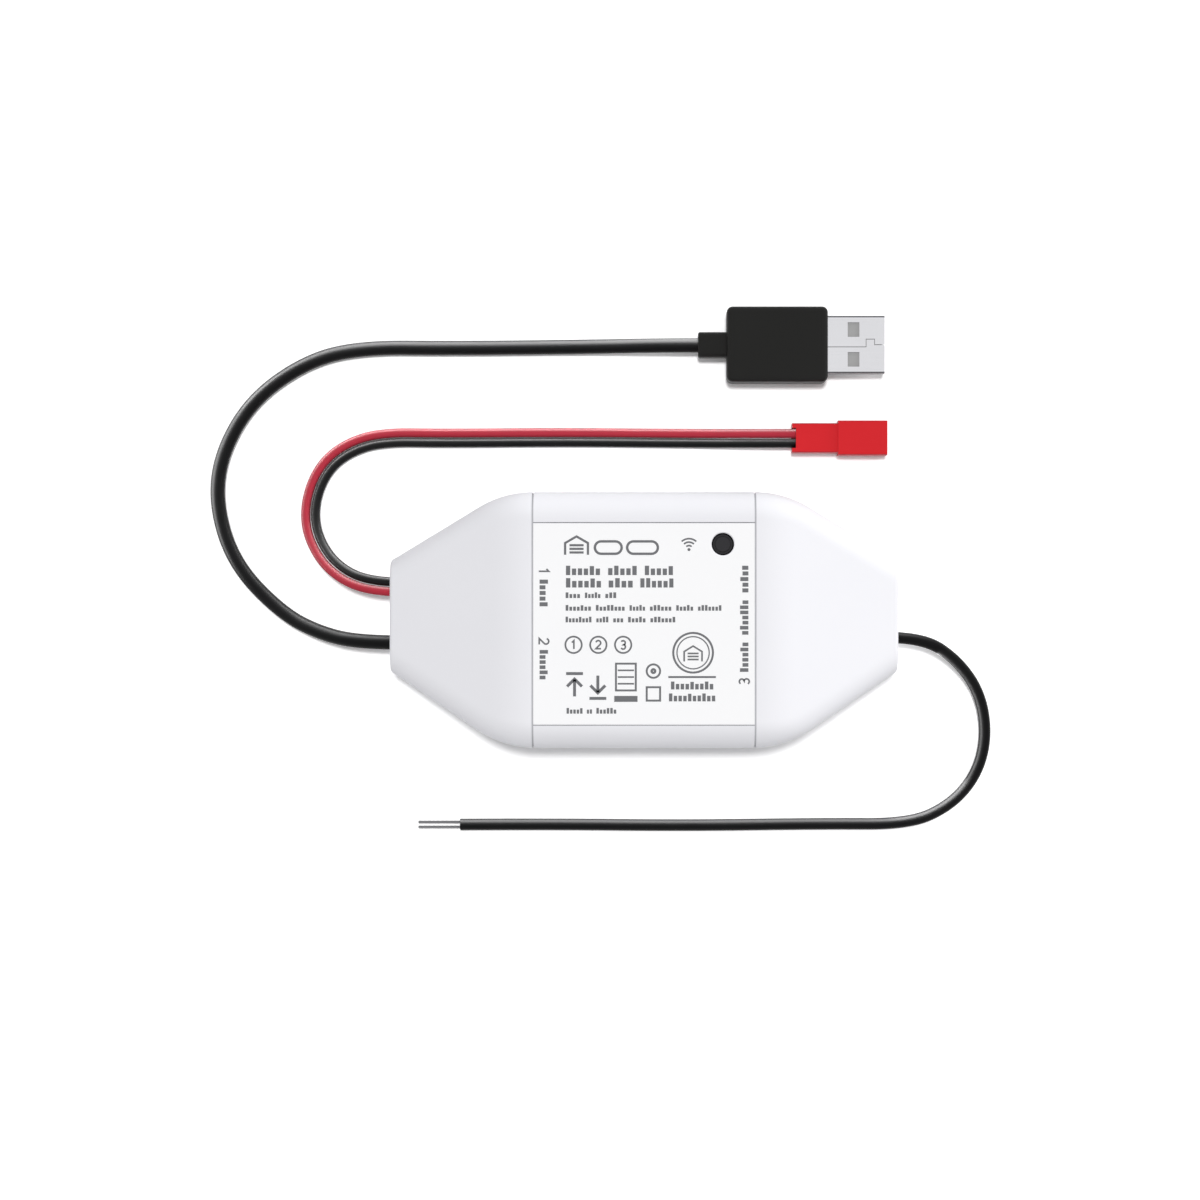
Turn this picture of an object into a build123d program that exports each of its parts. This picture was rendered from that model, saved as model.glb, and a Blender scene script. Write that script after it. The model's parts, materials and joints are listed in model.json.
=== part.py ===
from build123d import *
import os
from math import pi, radians, tan

# Garage door controller: a white plastic case with a power cord, a pair of sensor wires and a
# signal cord. All sizes are in millimetres. The case lies label up, with the origin under its
# middle on the surface that it rests on. +X points at the end with the signal cord, and +Z out
# of the label.

# Case, outside
CASE_LENGTH = 104.0
CASE_WIDTH = 52.0
CASE_HEIGHT = 24.0
END_FACE_WIDTH = 22.8
END_FACE_OFFSET = 0.8
END_FACE_HEIGHT = 15.0
CENTRE_LENGTH = 45.0
SIDE_TAPER_START = 6.0
SIDE_TAPER_RADIUS = 22.0
TOP_TAPER_START = 4.0
TOP_TAPER_RADIUS = 23.0
TOP_EDGE_RADIUS = 5.2
BOTTOM_EDGE_RADIUS = 2.4
END_EDGE_RADIUS = 1.0

# Case, walls and joints between its shells
WALL = 2.0
SEAM_GAP = 0.35
PARTING_HEIGHT = 7.5
PARTING_GAP = 0.2
LIP_THICKNESS = 0.9
LIP_REACH = 1.2
LIP_CLEARANCE = 0.12
LIP_ROOT = 1.5
ROOT = 0.5
OVERRUN = 1.0
NEAR = 0.001

# Label on the centre cover
LABEL_THICKNESS = 0.35
LABEL_MARGIN = 0.25
LABEL_GAP = 0.25
LABEL_LOWERED = 0.8
LABEL_HOLE_CLEARANCE = 0.15

# Circuit board and what holds it
BOARD_OVERHANG = 7.5
BOARD_THICKNESS = 1.6
BOARD_SIDE_CLEARANCE = 3.0
BOARD_CORNER_RADIUS = 1.5
STANDOFF_HEIGHT = 3.0
STANDOFF_RADIUS = 3.2
BOARD_SCREW_FROM_END = 3.6
BOARD_SCREW_FROM_SIDE = 3.6
BOARD_SCREW_RADIUS = 0.95
BOARD_SCREW_LENGTH = 4.2
BOARD_SCREW_HEAD_RADIUS = 1.9
BOARD_SCREW_HEAD_HEIGHT = 1.2
HOLE_CLEARANCE = 0.15

# Case screws, driven from the rear
SCREW_RADIUS = 1.2
SCREW_LENGTH = 12.0
SCREW_HEAD_RADIUS = 2.2
SCREW_HEAD_HEIGHT = 1.4
SCREW_HEAD_SETBACK = 0.4
SCREW_CLEARANCE = 0.06
SCREW_TIP_CLEARANCE = 0.6
HEAD_CLEARANCE = 0.2
DRIVE_WIDTH = 0.55
DRIVE_DEPTH = 0.7
DRIVE_SPAN = 2.6
BOSS_RADIUS = 2.8
BOSS_FROM_SEAM = 4.5
BOSS_PLACE_SHARES = (-0.393, 0.13)
CAP_SCREW_FROM_END = 12.0
RIGHT_CAP_SCREW_Y = 2.6

# Button and the small switch under it
BUTTON_FROM_SEAM = 6.6
BUTTON_FROM_LABEL_EDGE = 4.2
BUTTON_RADIUS = 2.2
BUTTON_CLEARANCE = 0.08
BUTTON_SETBACK = 0.3
BUTTON_DISC_RADIUS = 1.6
BUTTON_DISC_RISE = 0.5
BUTTON_EDGE_RADIUS = 0.3
BUTTON_FLANGE_RADIUS = 3.2
BUTTON_FLANGE_THICKNESS = 0.9
BUTTON_STEM_RADIUS = 1.6
BUTTON_TRAVEL = 0.3
BUTTON_GAP = 0.05
GUIDE_SHARE = 5 / 12
GUIDE_WALL = 1.3
SWITCH_SIDE = 6.0
SWITCH_BASE_HEIGHT = 3.4
SWITCH_COVER_THICKNESS = 0.3
PLUNGER_SHARE = 0.3
PLUNGER_RADIUS = 1.7
PLUNGER_COLLAR_RADIUS = 2.1
PLUNGER_COLLAR_HEIGHT = 0.4
SWITCH_LEG_WIDTH = 0.7
SWITCH_LEG_THICKNESS = 0.25
SWITCH_LEG_REACH = 1.3
SWITCH_LEG_SHARES = (-0.375, 0.375)

# Status light and its light guide
ICON_FROM_BUTTON = 7.0
LED_LENGTH = 1.6
LED_WIDTH = 0.9
LED_HEIGHT = 0.7
LIGHT_GUIDE_RADIUS = 1.0
LIGHT_GUIDE_FLANGE_RADIUS = 1.7
LIGHT_GUIDE_FLANGE_THICKNESS = 0.6
LIGHT_GUIDE_GAP = 0.4
LIGHT_GUIDE_CLEARANCE = 0.05

# Radio module, its long side across the case
MODULE_LENGTH = 16.6
MODULE_WIDTH = 13.2
MODULE_THICKNESS = 0.8
MODULE_FROM_BOARD_EDGE = 1.6
CAN_LENGTH = 10.4
CAN_WIDTH = 12.0
CAN_HEIGHT = 2.2
CAN_WALL = 0.25
CAN_FROM_MODULE_END = 0.6
ANTENNA_THICKNESS = 0.1
ANTENNA_TRACK = 0.6
ANTENNA_PITCH = 2.4
ANTENNA_HEIGHT = 3.8
ANTENNA_LEGS = 5

# Relay, capacitor, regulator and small parts on the board
PART_GAP = 0.2
RELAY_GAP = 0.6
RELAY_LENGTH = 12.5
RELAY_WIDTH = 7.5
RELAY_HEADROOM = 5.4
RELAY_BASE_HEIGHT = 1.2
RELAY_EDGE_RADIUS = 0.5
RELAY_PIN_RADIUS = 0.3
RELAY_PIN_SHARES = ((-0.36, -0.4), (0.36, -0.4), (-0.36, 0.1), (0.36, 0.1), (0.0, 0.4))
PIN_STANDOUT = 1.2
CAPACITOR_RADIUS = 3.15
CAPACITOR_HEADROOM = 3.9
CAPACITOR_EDGE_RADIUS = 0.6
CAPACITOR_LEAD_RADIUS = 0.3
CAPACITOR_LEAD_PITCH = 2.5
REGULATOR_LENGTH = 6.5
REGULATOR_WIDTH = 3.5
REGULATOR_HEIGHT = 1.7
TAB_REACH = 1.6
TAB_THICKNESS = 0.3
TAB_WIDTH = 0.8
WIDE_TAB_WIDTH = 3.0
TAB_PITCH = 2.3
TRANSISTOR_LENGTH = 2.9
TRANSISTOR_WIDTH = 1.4
TRANSISTOR_HEIGHT = 1.1
DIODE_LENGTH = 4.3
DIODE_WIDTH = 2.6
DIODE_HEIGHT = 2.2
CHIP_LENGTH = 2.0
CHIP_WIDTH = 1.25
CHIP_CAPACITOR_HEIGHT = 0.9
CHIP_RESISTOR_HEIGHT = 0.5
CHIP_PLACE_SHARES = (-0.2, -0.15, -0.1, -0.05, 0.0, 0.05)
CHIP_CAPACITOR_ROW_SHARE = 0.42
CHIP_RESISTOR_ROW_SHARE = 0.34

# Plug-in wire headers on the board
HEADER_LENGTH = 6.2
HEADER_WIDTH = 6.2
HEADER_HEIGHT = 5.0
HEADER_WALL = 0.8
HEADER_POCKET = 4.8
HEADER_FROM_BOARD_END = 0.4
HEADER_PIN_RADIUS = 0.3
HEADER_PIN_REACH = 3.0
HEADER_PIN_PITCH = 2.0
HEADER_PIN_SETBACK = 0.8
PLUG_CLEARANCE = 0.08
PLUG_STANDOUT = 1.5

# Cord and wire sections, and where they leave the case
POWER_CORD_RADIUS = 1.5
POWER_EXIT_Y = -4.65
SENSOR_WIRE_RADIUS = 0.95
SENSOR_WIRE_PITCH = 2.05
SENSOR_EXIT_Y = 6.82
SIGNAL_CORD_RADIUS = 1.2
SIGNAL_EXIT_Y = -3.6
CORD_HOLE_CLEARANCE = 0.2
LEAD_RADIUS = 0.6
LEAD_BEND_SHARES = (0.29, 0.71)
CORNER_SHARE = 0.45

# Strain relief collars, trapped behind the end walls
COLLAR_LENGTH = 3.2
COLLAR_WIDTH = 6.4
COLLAR_HEIGHT = 8.4
COLLAR_CLEARANCE = 0.1
COLLAR_EDGE_RADIUS = 0.5
RIB_THICKNESS = 1.4
RIB_HEIGHT = 4.4

# Plug on the power cord
USB_REAR_X = 11.2
USB_Y = 57.0
USB_NECK_LENGTH = 5.9
USB_NECK_WIDTH = 5.3
USB_NECK_HEIGHT = 4.8
USB_NECK_EDGE_RADIUS = 1.2
USB_BODY_LENGTH = 20.9
USB_BODY_WIDTH = 15.6
USB_BODY_HEIGHT = 8.0
USB_BODY_CORNER_RADIUS = 1.2
USB_BODY_EDGE_RADIUS = 1.1
USB_SHELL_LENGTH = 11.8
USB_SHELL_INSERT = 6.5
USB_SHELL_WIDTH = 12.0
USB_SHELL_HEIGHT = 4.5
USB_SHELL_THICKNESS = 0.3
USB_SHELL_CORNER_RADIUS = 0.6
USB_SHELL_CLEARANCE = 0.05
USB_WINDOW_LENGTH = 2.4
USB_WINDOW_WIDTH = 3.0
USB_WINDOW_FROM_FRONT = 6.45
USB_WINDOW_PITCH = 6.16
USB_SEAM_WIDTH = 0.14
USB_SEAM_OFFSET = -0.5
USB_SEAM_STEPS = (3.85, 2.1)
USB_SEAM_JOGS = (1.1, -0.05)
USB_TONGUE_THICKNESS = 1.9
USB_TONGUE_CLEARANCE = 0.05
USB_TONGUE_SETBACK = 0.6
USB_TONGUE_ROOT = 5.0
USB_CONTACT_WIDTH = 1.0
USB_CONTACT_THICKNESS = 0.2
USB_CONTACT_LENGTHS = (8.6, 7.6, 7.6, 8.6)
USB_CONTACT_PITCHES = (-3.5, -1.0, 1.0, 3.5)
USB_CONTACT_SETBACK = 1.4

# Two-way connector on the sensor wires
CONNECTOR_REAR_X = 30.7
CONNECTOR_Y = 37.75
CONNECTOR_BODY_LENGTH = 9.5
CONNECTOR_BODY_WIDTH = 6.1
CONNECTOR_BODY_HEIGHT = 4.7
CONNECTOR_HOOD_LENGTH = 10.2
CONNECTOR_HOOD_WIDTH = 7.15
CONNECTOR_HOOD_HEIGHT = 5.8
CONNECTOR_HOOD_WALL = 0.95
CONNECTOR_HOOD_DEPTH = 8.4
CONNECTOR_EDGE_RADIUS = 0.3
CONNECTOR_RECESS_DEPTH = 1.6
CONNECTOR_RECESS_CLEARANCE = 0.12
CONNECTOR_NOTCH_LENGTH = 0.8
CONNECTOR_PIN_RADIUS = 0.5
CONNECTOR_PIN_REACH = 6.0
CONNECTOR_BORE_CLEARANCE = 0.08
CONNECTOR_LATCH_LENGTH = 1.6
CONNECTOR_LATCH_WIDTH = 1.2
CONNECTOR_LATCH_FROM_FRONT = 1.4

# Bare ends of the signal cord
JACKET_END_X = -38.3
JACKET_END_Y = -42.6
CONDUCTOR_RADIUS = 0.29
CONDUCTOR_PITCH = 1.04
CONDUCTOR_LENGTH = 8.7

# Levels and places that follow from the sizes above
HALF_LENGTH = CASE_LENGTH / 2
HALF_WIDTH = CASE_WIDTH / 2
SEAM_X = CENTRE_LENGTH / 2
CEILING = CASE_HEIGHT - WALL
LABEL_BED = CASE_HEIGHT - LABEL_THICKNESS
RECESS_WIDTH = CASE_WIDTH - 2 * (TOP_EDGE_RADIUS + LABEL_MARGIN)
LABEL_WIDTH = RECESS_WIDTH - 2 * LABEL_GAP
COVER_LENGTH = CENTRE_LENGTH - SEAM_GAP
BOARD_LENGTH = CENTRE_LENGTH + 2 * BOARD_OVERHANG
BOARD_WIDTH = CASE_WIDTH - 2 * (WALL + BOARD_SIDE_CLEARANCE)
BOARD_BOTTOM = WALL + STANDOFF_HEIGHT
BOARD_TOP = BOARD_BOTTOM + BOARD_THICKNESS
SCREW_SEAT = SCREW_HEAD_SETBACK + SCREW_HEAD_HEIGHT
SCREW_TIP = SCREW_SEAT + SCREW_LENGTH
BOSS_X = SEAM_X - BOSS_FROM_SEAM
CAP_SCREW_X = HALF_LENGTH - CAP_SCREW_FROM_END
LEFT_CAP_SCREW_Y = (POWER_EXIT_Y + SENSOR_EXIT_Y) / 2
BUTTON_X = SEAM_X - BUTTON_FROM_SEAM
BUTTON_Y = LABEL_WIDTH / 2 - LABEL_LOWERED - BUTTON_FROM_LABEL_EDGE
LIGHT_X = BUTTON_X - ICON_FROM_BUTTON
SWITCH_BASE_TOP = BOARD_TOP + SWITCH_BASE_HEIGHT
SWITCH_HEADROOM = CEILING - SWITCH_BASE_TOP
GUIDE_END = CEILING - GUIDE_SHARE * SWITCH_HEADROOM
PLUNGER_TOP = SWITCH_BASE_TOP + PLUNGER_SHARE * SWITCH_HEADROOM
BETWEEN_BOSSES_Y = sum(BOSS_PLACE_SHARES) / 2 * BOARD_WIDTH
MODULE_X = -BOSS_X + CAPACITOR_RADIUS + PART_GAP + MODULE_WIDTH / 2
MODULE_Y = -BOARD_WIDTH / 2 + MODULE_FROM_BOARD_EDGE + MODULE_LENGTH / 2
RELAY_X = MODULE_X + MODULE_WIDTH / 2 + RELAY_GAP + RELAY_WIDTH / 2
RELAY_HEIGHT = CEILING - BOARD_TOP - RELAY_HEADROOM
CAPACITOR_HEIGHT = CEILING - BOARD_TOP - CAPACITOR_HEADROOM
COLLAR_FACE_X = HALF_LENGTH - WALL - COLLAR_CLEARANCE
HEADER_X = BOARD_LENGTH / 2 - HEADER_FROM_BOARD_END
HEADER_AXIS = BOARD_TOP + HEADER_HEIGHT / 2
USB_AXIS = USB_BODY_HEIGHT / 2
USB_BODY_X = USB_REAR_X + USB_NECK_LENGTH
USB_SHELL_X = USB_BODY_X + USB_BODY_LENGTH
USB_FRONT_X = USB_SHELL_X + USB_SHELL_LENGTH
CONNECTOR_AXIS = CONNECTOR_HOOD_HEIGHT / 2
CONNECTOR_HOOD_X = CONNECTOR_REAR_X + CONNECTOR_BODY_LENGTH
CONNECTOR_FRONT_X = CONNECTOR_HOOD_X + CONNECTOR_HOOD_LENGTH

# The three collars: which end of the case, and the place across it
COLLAR_PLACES = ((-1, POWER_EXIT_Y), (-1, SENSOR_EXIT_Y), (1, SIGNAL_EXIT_Y))

# Routes of the cords, chosen by hand, from the collar in the case to the plug, connector or bare end
POWER_ROUTE = (
    (-COLLAR_FACE_X, POWER_EXIT_Y, PARTING_HEIGHT),
    (-58.0, POWER_EXIT_Y, PARTING_HEIGHT),
    (-66.5, -3.0, 4.7),
    (-75.2, 1.2, 1.9),
    (-85.2, 11.4, POWER_CORD_RADIUS),
    (-89.2, 23.6, POWER_CORD_RADIUS),
    (-88.2, 34.5, POWER_CORD_RADIUS),
    (-81.6, 46.0, POWER_CORD_RADIUS),
    (-69.8, 54.2, POWER_CORD_RADIUS),
    (-58.2, 56.8, POWER_CORD_RADIUS),
    (-40.0, 56.6, POWER_CORD_RADIUS),
    (-12.0, 56.9, POWER_CORD_RADIUS),
    (3.2, USB_Y, USB_AXIS),
    (USB_REAR_X, USB_Y, USB_AXIS),
)
SENSOR_ROUTE = (
    (-COLLAR_FACE_X, SENSOR_EXIT_Y, PARTING_HEIGHT),
    (-57.0, SENSOR_EXIT_Y, PARTING_HEIGHT),
    (-64.8, 10.8, 4.4),
    (-69.2, 17.6, 1.7),
    (-69.7, 24.4, SENSOR_WIRE_RADIUS),
    (-67.1, 31.3, SENSOR_WIRE_RADIUS),
    (-62.2, 35.7, SENSOR_WIRE_RADIUS),
    (-54.9, 38.1, SENSOR_WIRE_RADIUS),
    (-41.5, 37.9, SENSOR_WIRE_RADIUS),
    (-17.0, 38.1, SENSOR_WIRE_RADIUS),
    (9.4, 37.85, SENSOR_WIRE_RADIUS),
    (23.2, CONNECTOR_Y, CONNECTOR_AXIS),
    (CONNECTOR_REAR_X + CONNECTOR_RECESS_DEPTH, CONNECTOR_Y, CONNECTOR_AXIS),
)
SIGNAL_ROUTE = (
    (COLLAR_FACE_X, SIGNAL_EXIT_Y, PARTING_HEIGHT),
    (57.6, SIGNAL_EXIT_Y, PARTING_HEIGHT),
    (64.9, -8.3, 4.9),
    (69.9, -15.2, 2.4),
    (71.4, -24.0, SIGNAL_CORD_RADIUS),
    (69.4, -32.1, SIGNAL_CORD_RADIUS),
    (64.0, -38.5, SIGNAL_CORD_RADIUS),
    (55.4, -42.5, SIGNAL_CORD_RADIUS),
    (37.4, -42.4, SIGNAL_CORD_RADIUS),
    (7.5, -42.8, SIGNAL_CORD_RADIUS),
    (-19.5, -42.5, SIGNAL_CORD_RADIUS),
    (JACKET_END_X, JACKET_END_Y, SIGNAL_CORD_RADIUS),
)


# Plain shapes, and small helpers

def block(low, high):
    """A box between two corners."""
    middle = [(a + b) / 2 for a, b in zip(low, high)]
    return Pos(*middle) * Box(*[b - a for a, b in zip(low, high)])


def rod(x, y, bottom, top, radius):
    """An upright cylinder."""
    return Pos(x, y, (bottom + top) / 2) * Cylinder(radius, top - bottom)


def rod_along_x(start, end, y, z, radius):
    """A cylinder that lies along X."""
    return Pos((start + end) / 2, y, z) * Rot(0, 90, 0) * Cylinder(radius, abs(end - start))


def seated(x, y, length, width, height):
    """A box that stands on the board."""
    low = (x - length / 2, y - width / 2, BOARD_TOP)
    return block(low, (x + length / 2, y + width / 2, BOARD_TOP + height))


def rounded_bar(start, end, y, z, width, height, corner):
    """A bar along X whose four long edges are rounded."""
    section = Plane.YZ * RectangleRounded(width, height, corner)
    return Pos(start, y, z) * extrude(section, end - start)


def mitred(points, inset):
    """A polygon's corners, each side moved inwards by the inset."""
    moved = []
    for index, point in enumerate(points):
        before = (Vector(point) - Vector(points[index - 1])).normalized()
        after = (Vector(points[(index + 1) % len(points)]) - Vector(point)).normalized()
        inward = Vector(-before.Y - after.Y, before.X + after.X)
        corner = Vector(point) + inward * (inset / (1 + before.dot(after)))
        moved.append((corner.X, corner.Y))
    return moved


def is_upright(edge):
    """Whether an edge runs along Z."""
    size = edge.bounding_box().size
    return size.X < NEAR and size.Y < NEAR


def in_end_face(edge, end):
    """Whether an edge lies in one of the two end faces."""
    return edge.bounding_box().size.X < NEAR and abs(abs(edge.center().X) - end) < NEAR


def is_low(edge):
    """Whether an edge lies in the underside."""
    return edge.bounding_box().max.Z < NEAR


# Case

def case_form(inset):
    """The case's outer form, each face moved inwards by the inset, with its long top edges rounded."""
    end = HALF_LENGTH - inset
    shoulder = SEAM_X + SIDE_TAPER_START
    end_low = END_FACE_OFFSET - END_FACE_WIDTH / 2
    end_high = END_FACE_OFFSET + END_FACE_WIDTH / 2
    plan_corners = [
        (-shoulder, -HALF_WIDTH), (shoulder, -HALF_WIDTH),
        (HALF_LENGTH, end_low), (HALF_LENGTH, end_high),
        (shoulder, HALF_WIDTH), (-shoulder, HALF_WIDTH),
        (-HALF_LENGTH, end_high), (-HALF_LENGTH, end_low),
    ]
    crest = SEAM_X + TOP_TAPER_START
    side_corners = [
        (-HALF_LENGTH, 0), (HALF_LENGTH, 0), (HALF_LENGTH, END_FACE_HEIGHT),
        (crest, CASE_HEIGHT), (-crest, CASE_HEIGHT), (-HALF_LENGTH, END_FACE_HEIGHT),
    ]
    plan = Polygon(*mitred(plan_corners, inset), align=None)
    plan = fillet([v for v in plan.vertices() if abs(v.X) < end - NEAR], SIDE_TAPER_RADIUS - inset)
    side = Polygon(*mitred(side_corners, inset), align=None)
    side = fillet([v for v in side.vertices() if abs(v.X) < end - NEAR], TOP_TAPER_RADIUS - inset)
    form = extrude(plan, CASE_HEIGHT) & extrude(Plane.XZ * side, CASE_WIDTH, both=True)
    long_edges = [
        edge for edge in form.edges()
        if abs(edge.center().Y) > END_FACE_WIDTH / 4
        and edge.center().Z > PARTING_HEIGHT
        and not is_upright(edge)
        and not in_end_face(edge, end)
    ]
    return fillet(long_edges, TOP_EDGE_RADIUS - inset)


def outer_form():
    """The outer form with the edges of its underside and of its end faces rounded too."""
    form = case_form(0)
    low_edges = [edge for edge in form.edges() if is_low(edge) and not in_end_face(edge, HALF_LENGTH)]
    form = fillet(low_edges, BOTTOM_EDGE_RADIUS)
    return fillet([edge for edge in form.edges() if in_end_face(edge, HALF_LENGTH)], END_EDGE_RADIUS)


def slab(low_x, high_x, low_z, high_z):
    """Everything between two places along X and two levels."""
    return block((low_x, -CASE_WIDTH, low_z), (high_x, CASE_WIDTH, high_z))


def exits():
    """The cord holes through the two end walls."""
    inner = COLLAR_FACE_X - COLLAR_LENGTH
    outer = HALF_LENGTH + OVERRUN
    power_radius = POWER_CORD_RADIUS + CORD_HOLE_CLEARANCE
    signal_radius = SIGNAL_CORD_RADIUS + CORD_HOLE_CLEARANCE
    sensor_radius = SENSOR_WIRE_RADIUS + CORD_HOLE_CLEARANCE
    power_hole = rod_along_x(-outer, -inner, POWER_EXIT_Y, PARTING_HEIGHT, power_radius)
    signal_hole = rod_along_x(inner, outer, SIGNAL_EXIT_Y, PARTING_HEIGHT, signal_radius)
    sensor_hole = block(
        (-outer, SENSOR_EXIT_Y - SENSOR_WIRE_PITCH / 2, PARTING_HEIGHT - sensor_radius),
        (-inner, SENSOR_EXIT_Y + SENSOR_WIRE_PITCH / 2, PARTING_HEIGHT + sensor_radius),
    )
    for side in (-1, 1):
        y = SENSOR_EXIT_Y + side * SENSOR_WIRE_PITCH / 2
        sensor_hole += rod_along_x(-outer, -inner, y, PARTING_HEIGHT, sensor_radius)
    return power_hole + signal_hole + sensor_hole


def collar_block(side, y, clearance):
    """The space of one strain relief collar, grown by a clearance."""
    outer = side * (COLLAR_FACE_X + clearance)
    inner = side * (COLLAR_FACE_X - COLLAR_LENGTH - clearance)
    low = (min(outer, inner), y - COLLAR_WIDTH / 2 - clearance, WALL - clearance)
    high = (max(outer, inner), y + COLLAR_WIDTH / 2 + clearance, WALL + COLLAR_HEIGHT + clearance)
    return block(low, high)


def collar_rib(side, y, bottom, top):
    """A rib across the inner side of a collar."""
    near = side * (COLLAR_FACE_X - COLLAR_LENGTH - COLLAR_CLEARANCE)
    far = near - side * RIB_THICKNESS
    low = (min(near, far), y - COLLAR_WIDTH / 2, bottom)
    return block(low, (max(near, far), y + COLLAR_WIDTH / 2, top))


def screw_places():
    """The places of the six case screws: four in the centre cover, one in each end cap."""
    places = [(side * BOSS_X, share * BOARD_WIDTH) for side in (-1, 1) for share in BOSS_PLACE_SHARES]
    return places + [(-CAP_SCREW_X, LEFT_CAP_SCREW_Y), (CAP_SCREW_X, RIGHT_CAP_SCREW_Y)]


def board_screw_places():
    """The places of the two screws that hold the board."""
    x = BOARD_LENGTH / 2 - BOARD_SCREW_FROM_END
    y = BOARD_WIDTH / 2 - BOARD_SCREW_FROM_SIDE
    return [(-x, -y), (x, y)]


def make_rear_shell(outer, cavity):
    """The full-length tray: floor, lower walls, inner lip, standoffs, collar ribs and screw holes."""
    shell = outer & slab(-CASE_LENGTH, CASE_LENGTH, -OVERRUN, PARTING_HEIGHT)
    shell -= cavity
    lip_foot = slab(-CASE_LENGTH, CASE_LENGTH, PARTING_HEIGHT - LIP_ROOT, PARTING_HEIGHT)
    lip_rise = slab(-CASE_LENGTH, CASE_LENGTH, PARTING_HEIGHT, PARTING_HEIGHT + LIP_REACH)
    lip = (case_form(WALL - ROOT) & lip_foot) + (case_form(WALL + LIP_CLEARANCE) & lip_rise)
    lip -= case_form(WALL + LIP_CLEARANCE + LIP_THICKNESS)
    for side, y in COLLAR_PLACES:
        lip -= collar_block(side, y, COLLAR_CLEARANCE)
    shell += lip
    floor_root = WALL - ROOT
    for side, y in COLLAR_PLACES:
        shell += collar_rib(side, y, floor_root, WALL + RIB_HEIGHT)
    places = screw_places()
    for x, y in places:
        top = BOARD_BOTTOM if abs(x) < CAP_SCREW_X else PARTING_HEIGHT
        shell += rod(x, y, floor_root, top, STANDOFF_RADIUS)
    for x, y in board_screw_places():
        shell += rod(x, y, floor_root, BOARD_BOTTOM, STANDOFF_RADIUS)
    for x, y in places:
        shell -= rod(x, y, -OVERRUN, SCREW_SEAT, SCREW_HEAD_RADIUS + HEAD_CLEARANCE)
        shell -= rod(x, y, SCREW_SEAT, PARTING_HEIGHT + OVERRUN, SCREW_RADIUS + HOLE_CLEARANCE)
    for x, y in board_screw_places():
        tip = BOARD_TOP - BOARD_SCREW_LENGTH
        shell -= rod(x, y, tip, BOARD_TOP, BOARD_SCREW_RADIUS + SCREW_CLEARANCE)
    return shell - exits()


def upper_shell(outer, cavity, low_x, high_x):
    """The part of the upper case between two places along X."""
    return (outer & slab(low_x, high_x, PARTING_HEIGHT + PARTING_GAP, CASE_HEIGHT + OVERRUN)) - cavity


def screw_boss(x, y, bottom):
    """A boss under the roof of the upper case, with no hole yet."""
    return rod(x, y, bottom, CASE_HEIGHT, BOSS_RADIUS)


def pilot_hole(x, y, bottom):
    """The hole that a case screw goes into, in a boss."""
    return rod(x, y, bottom - OVERRUN, SCREW_TIP + SCREW_TIP_CLEARANCE, SCREW_RADIUS + SCREW_CLEARANCE)


def make_centre_cover(outer, cavity):
    """The cover between the seams, with the label's recess, the bosses and the two guides."""
    half = COVER_LENGTH / 2
    cover = upper_shell(outer, cavity, -half, half)
    bosses = [place for place in screw_places() if abs(place[0]) < CAP_SCREW_X]
    inside = case_form(WALL - ROOT)
    for x, y in bosses:
        cover += screw_boss(x, y, BOARD_TOP) & inside
        cover -= pilot_hole(x, y, BOARD_TOP)
    button_bore = BUTTON_RADIUS + BUTTON_CLEARANCE
    light_bore = LIGHT_GUIDE_RADIUS + LIGHT_GUIDE_CLEARANCE
    cover += rod(BUTTON_X, BUTTON_Y, GUIDE_END, CEILING + ROOT, button_bore + GUIDE_WALL)
    cover += rod(LIGHT_X, BUTTON_Y, GUIDE_END, CEILING + ROOT, light_bore + GUIDE_WALL)
    cover -= block(
        (-CASE_LENGTH, -RECESS_WIDTH / 2 - LABEL_LOWERED, LABEL_BED),
        (CASE_LENGTH, RECESS_WIDTH / 2 - LABEL_LOWERED, CASE_HEIGHT + OVERRUN),
    )
    cover -= rod(BUTTON_X, BUTTON_Y, GUIDE_END - OVERRUN, CASE_HEIGHT, button_bore)
    cover -= rod(LIGHT_X, BUTTON_Y, GUIDE_END - OVERRUN, CASE_HEIGHT, light_bore)
    return cover


def make_end_cap(outer, cavity, side):
    """An end cap with its lip under the centre cover, its boss, and ribs that press on the collars."""
    seam = side * (SEAM_X + SEAM_GAP / 2)
    tip = side * CASE_LENGTH
    cap = upper_shell(outer, cavity, min(seam, tip), max(seam, tip))
    lip_floor = PARTING_HEIGHT + LIP_REACH + PARTING_GAP
    root = seam + side * LIP_ROOT
    reach = seam - side * (SEAM_GAP + LIP_REACH)
    lip_foot = slab(min(seam, root), max(seam, root), lip_floor, CASE_HEIGHT)
    lip_rise = slab(min(seam, reach), max(seam, reach), lip_floor, CASE_HEIGHT)
    lip = (case_form(WALL - ROOT) & lip_foot) + (case_form(WALL + LIP_CLEARANCE) & lip_rise)
    cap += lip - case_form(WALL + LIP_CLEARANCE + LIP_THICKNESS)
    y = LEFT_CAP_SCREW_Y if side < 0 else RIGHT_CAP_SCREW_Y
    inside = case_form(WALL - ROOT)
    cap += screw_boss(side * CAP_SCREW_X, y, PARTING_HEIGHT) & inside
    cap -= pilot_hole(side * CAP_SCREW_X, y, PARTING_HEIGHT)
    for place, exit_y in COLLAR_PLACES:
        if place == side:
            rib_bottom = WALL + COLLAR_HEIGHT + COLLAR_CLEARANCE
            shift = side * (RIB_THICKNESS + COLLAR_CLEARANCE)
            cap += Pos(shift, 0, 0) * collar_rib(side, exit_y, rib_bottom, CASE_HEIGHT) & inside
    return cap - exits()


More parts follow.
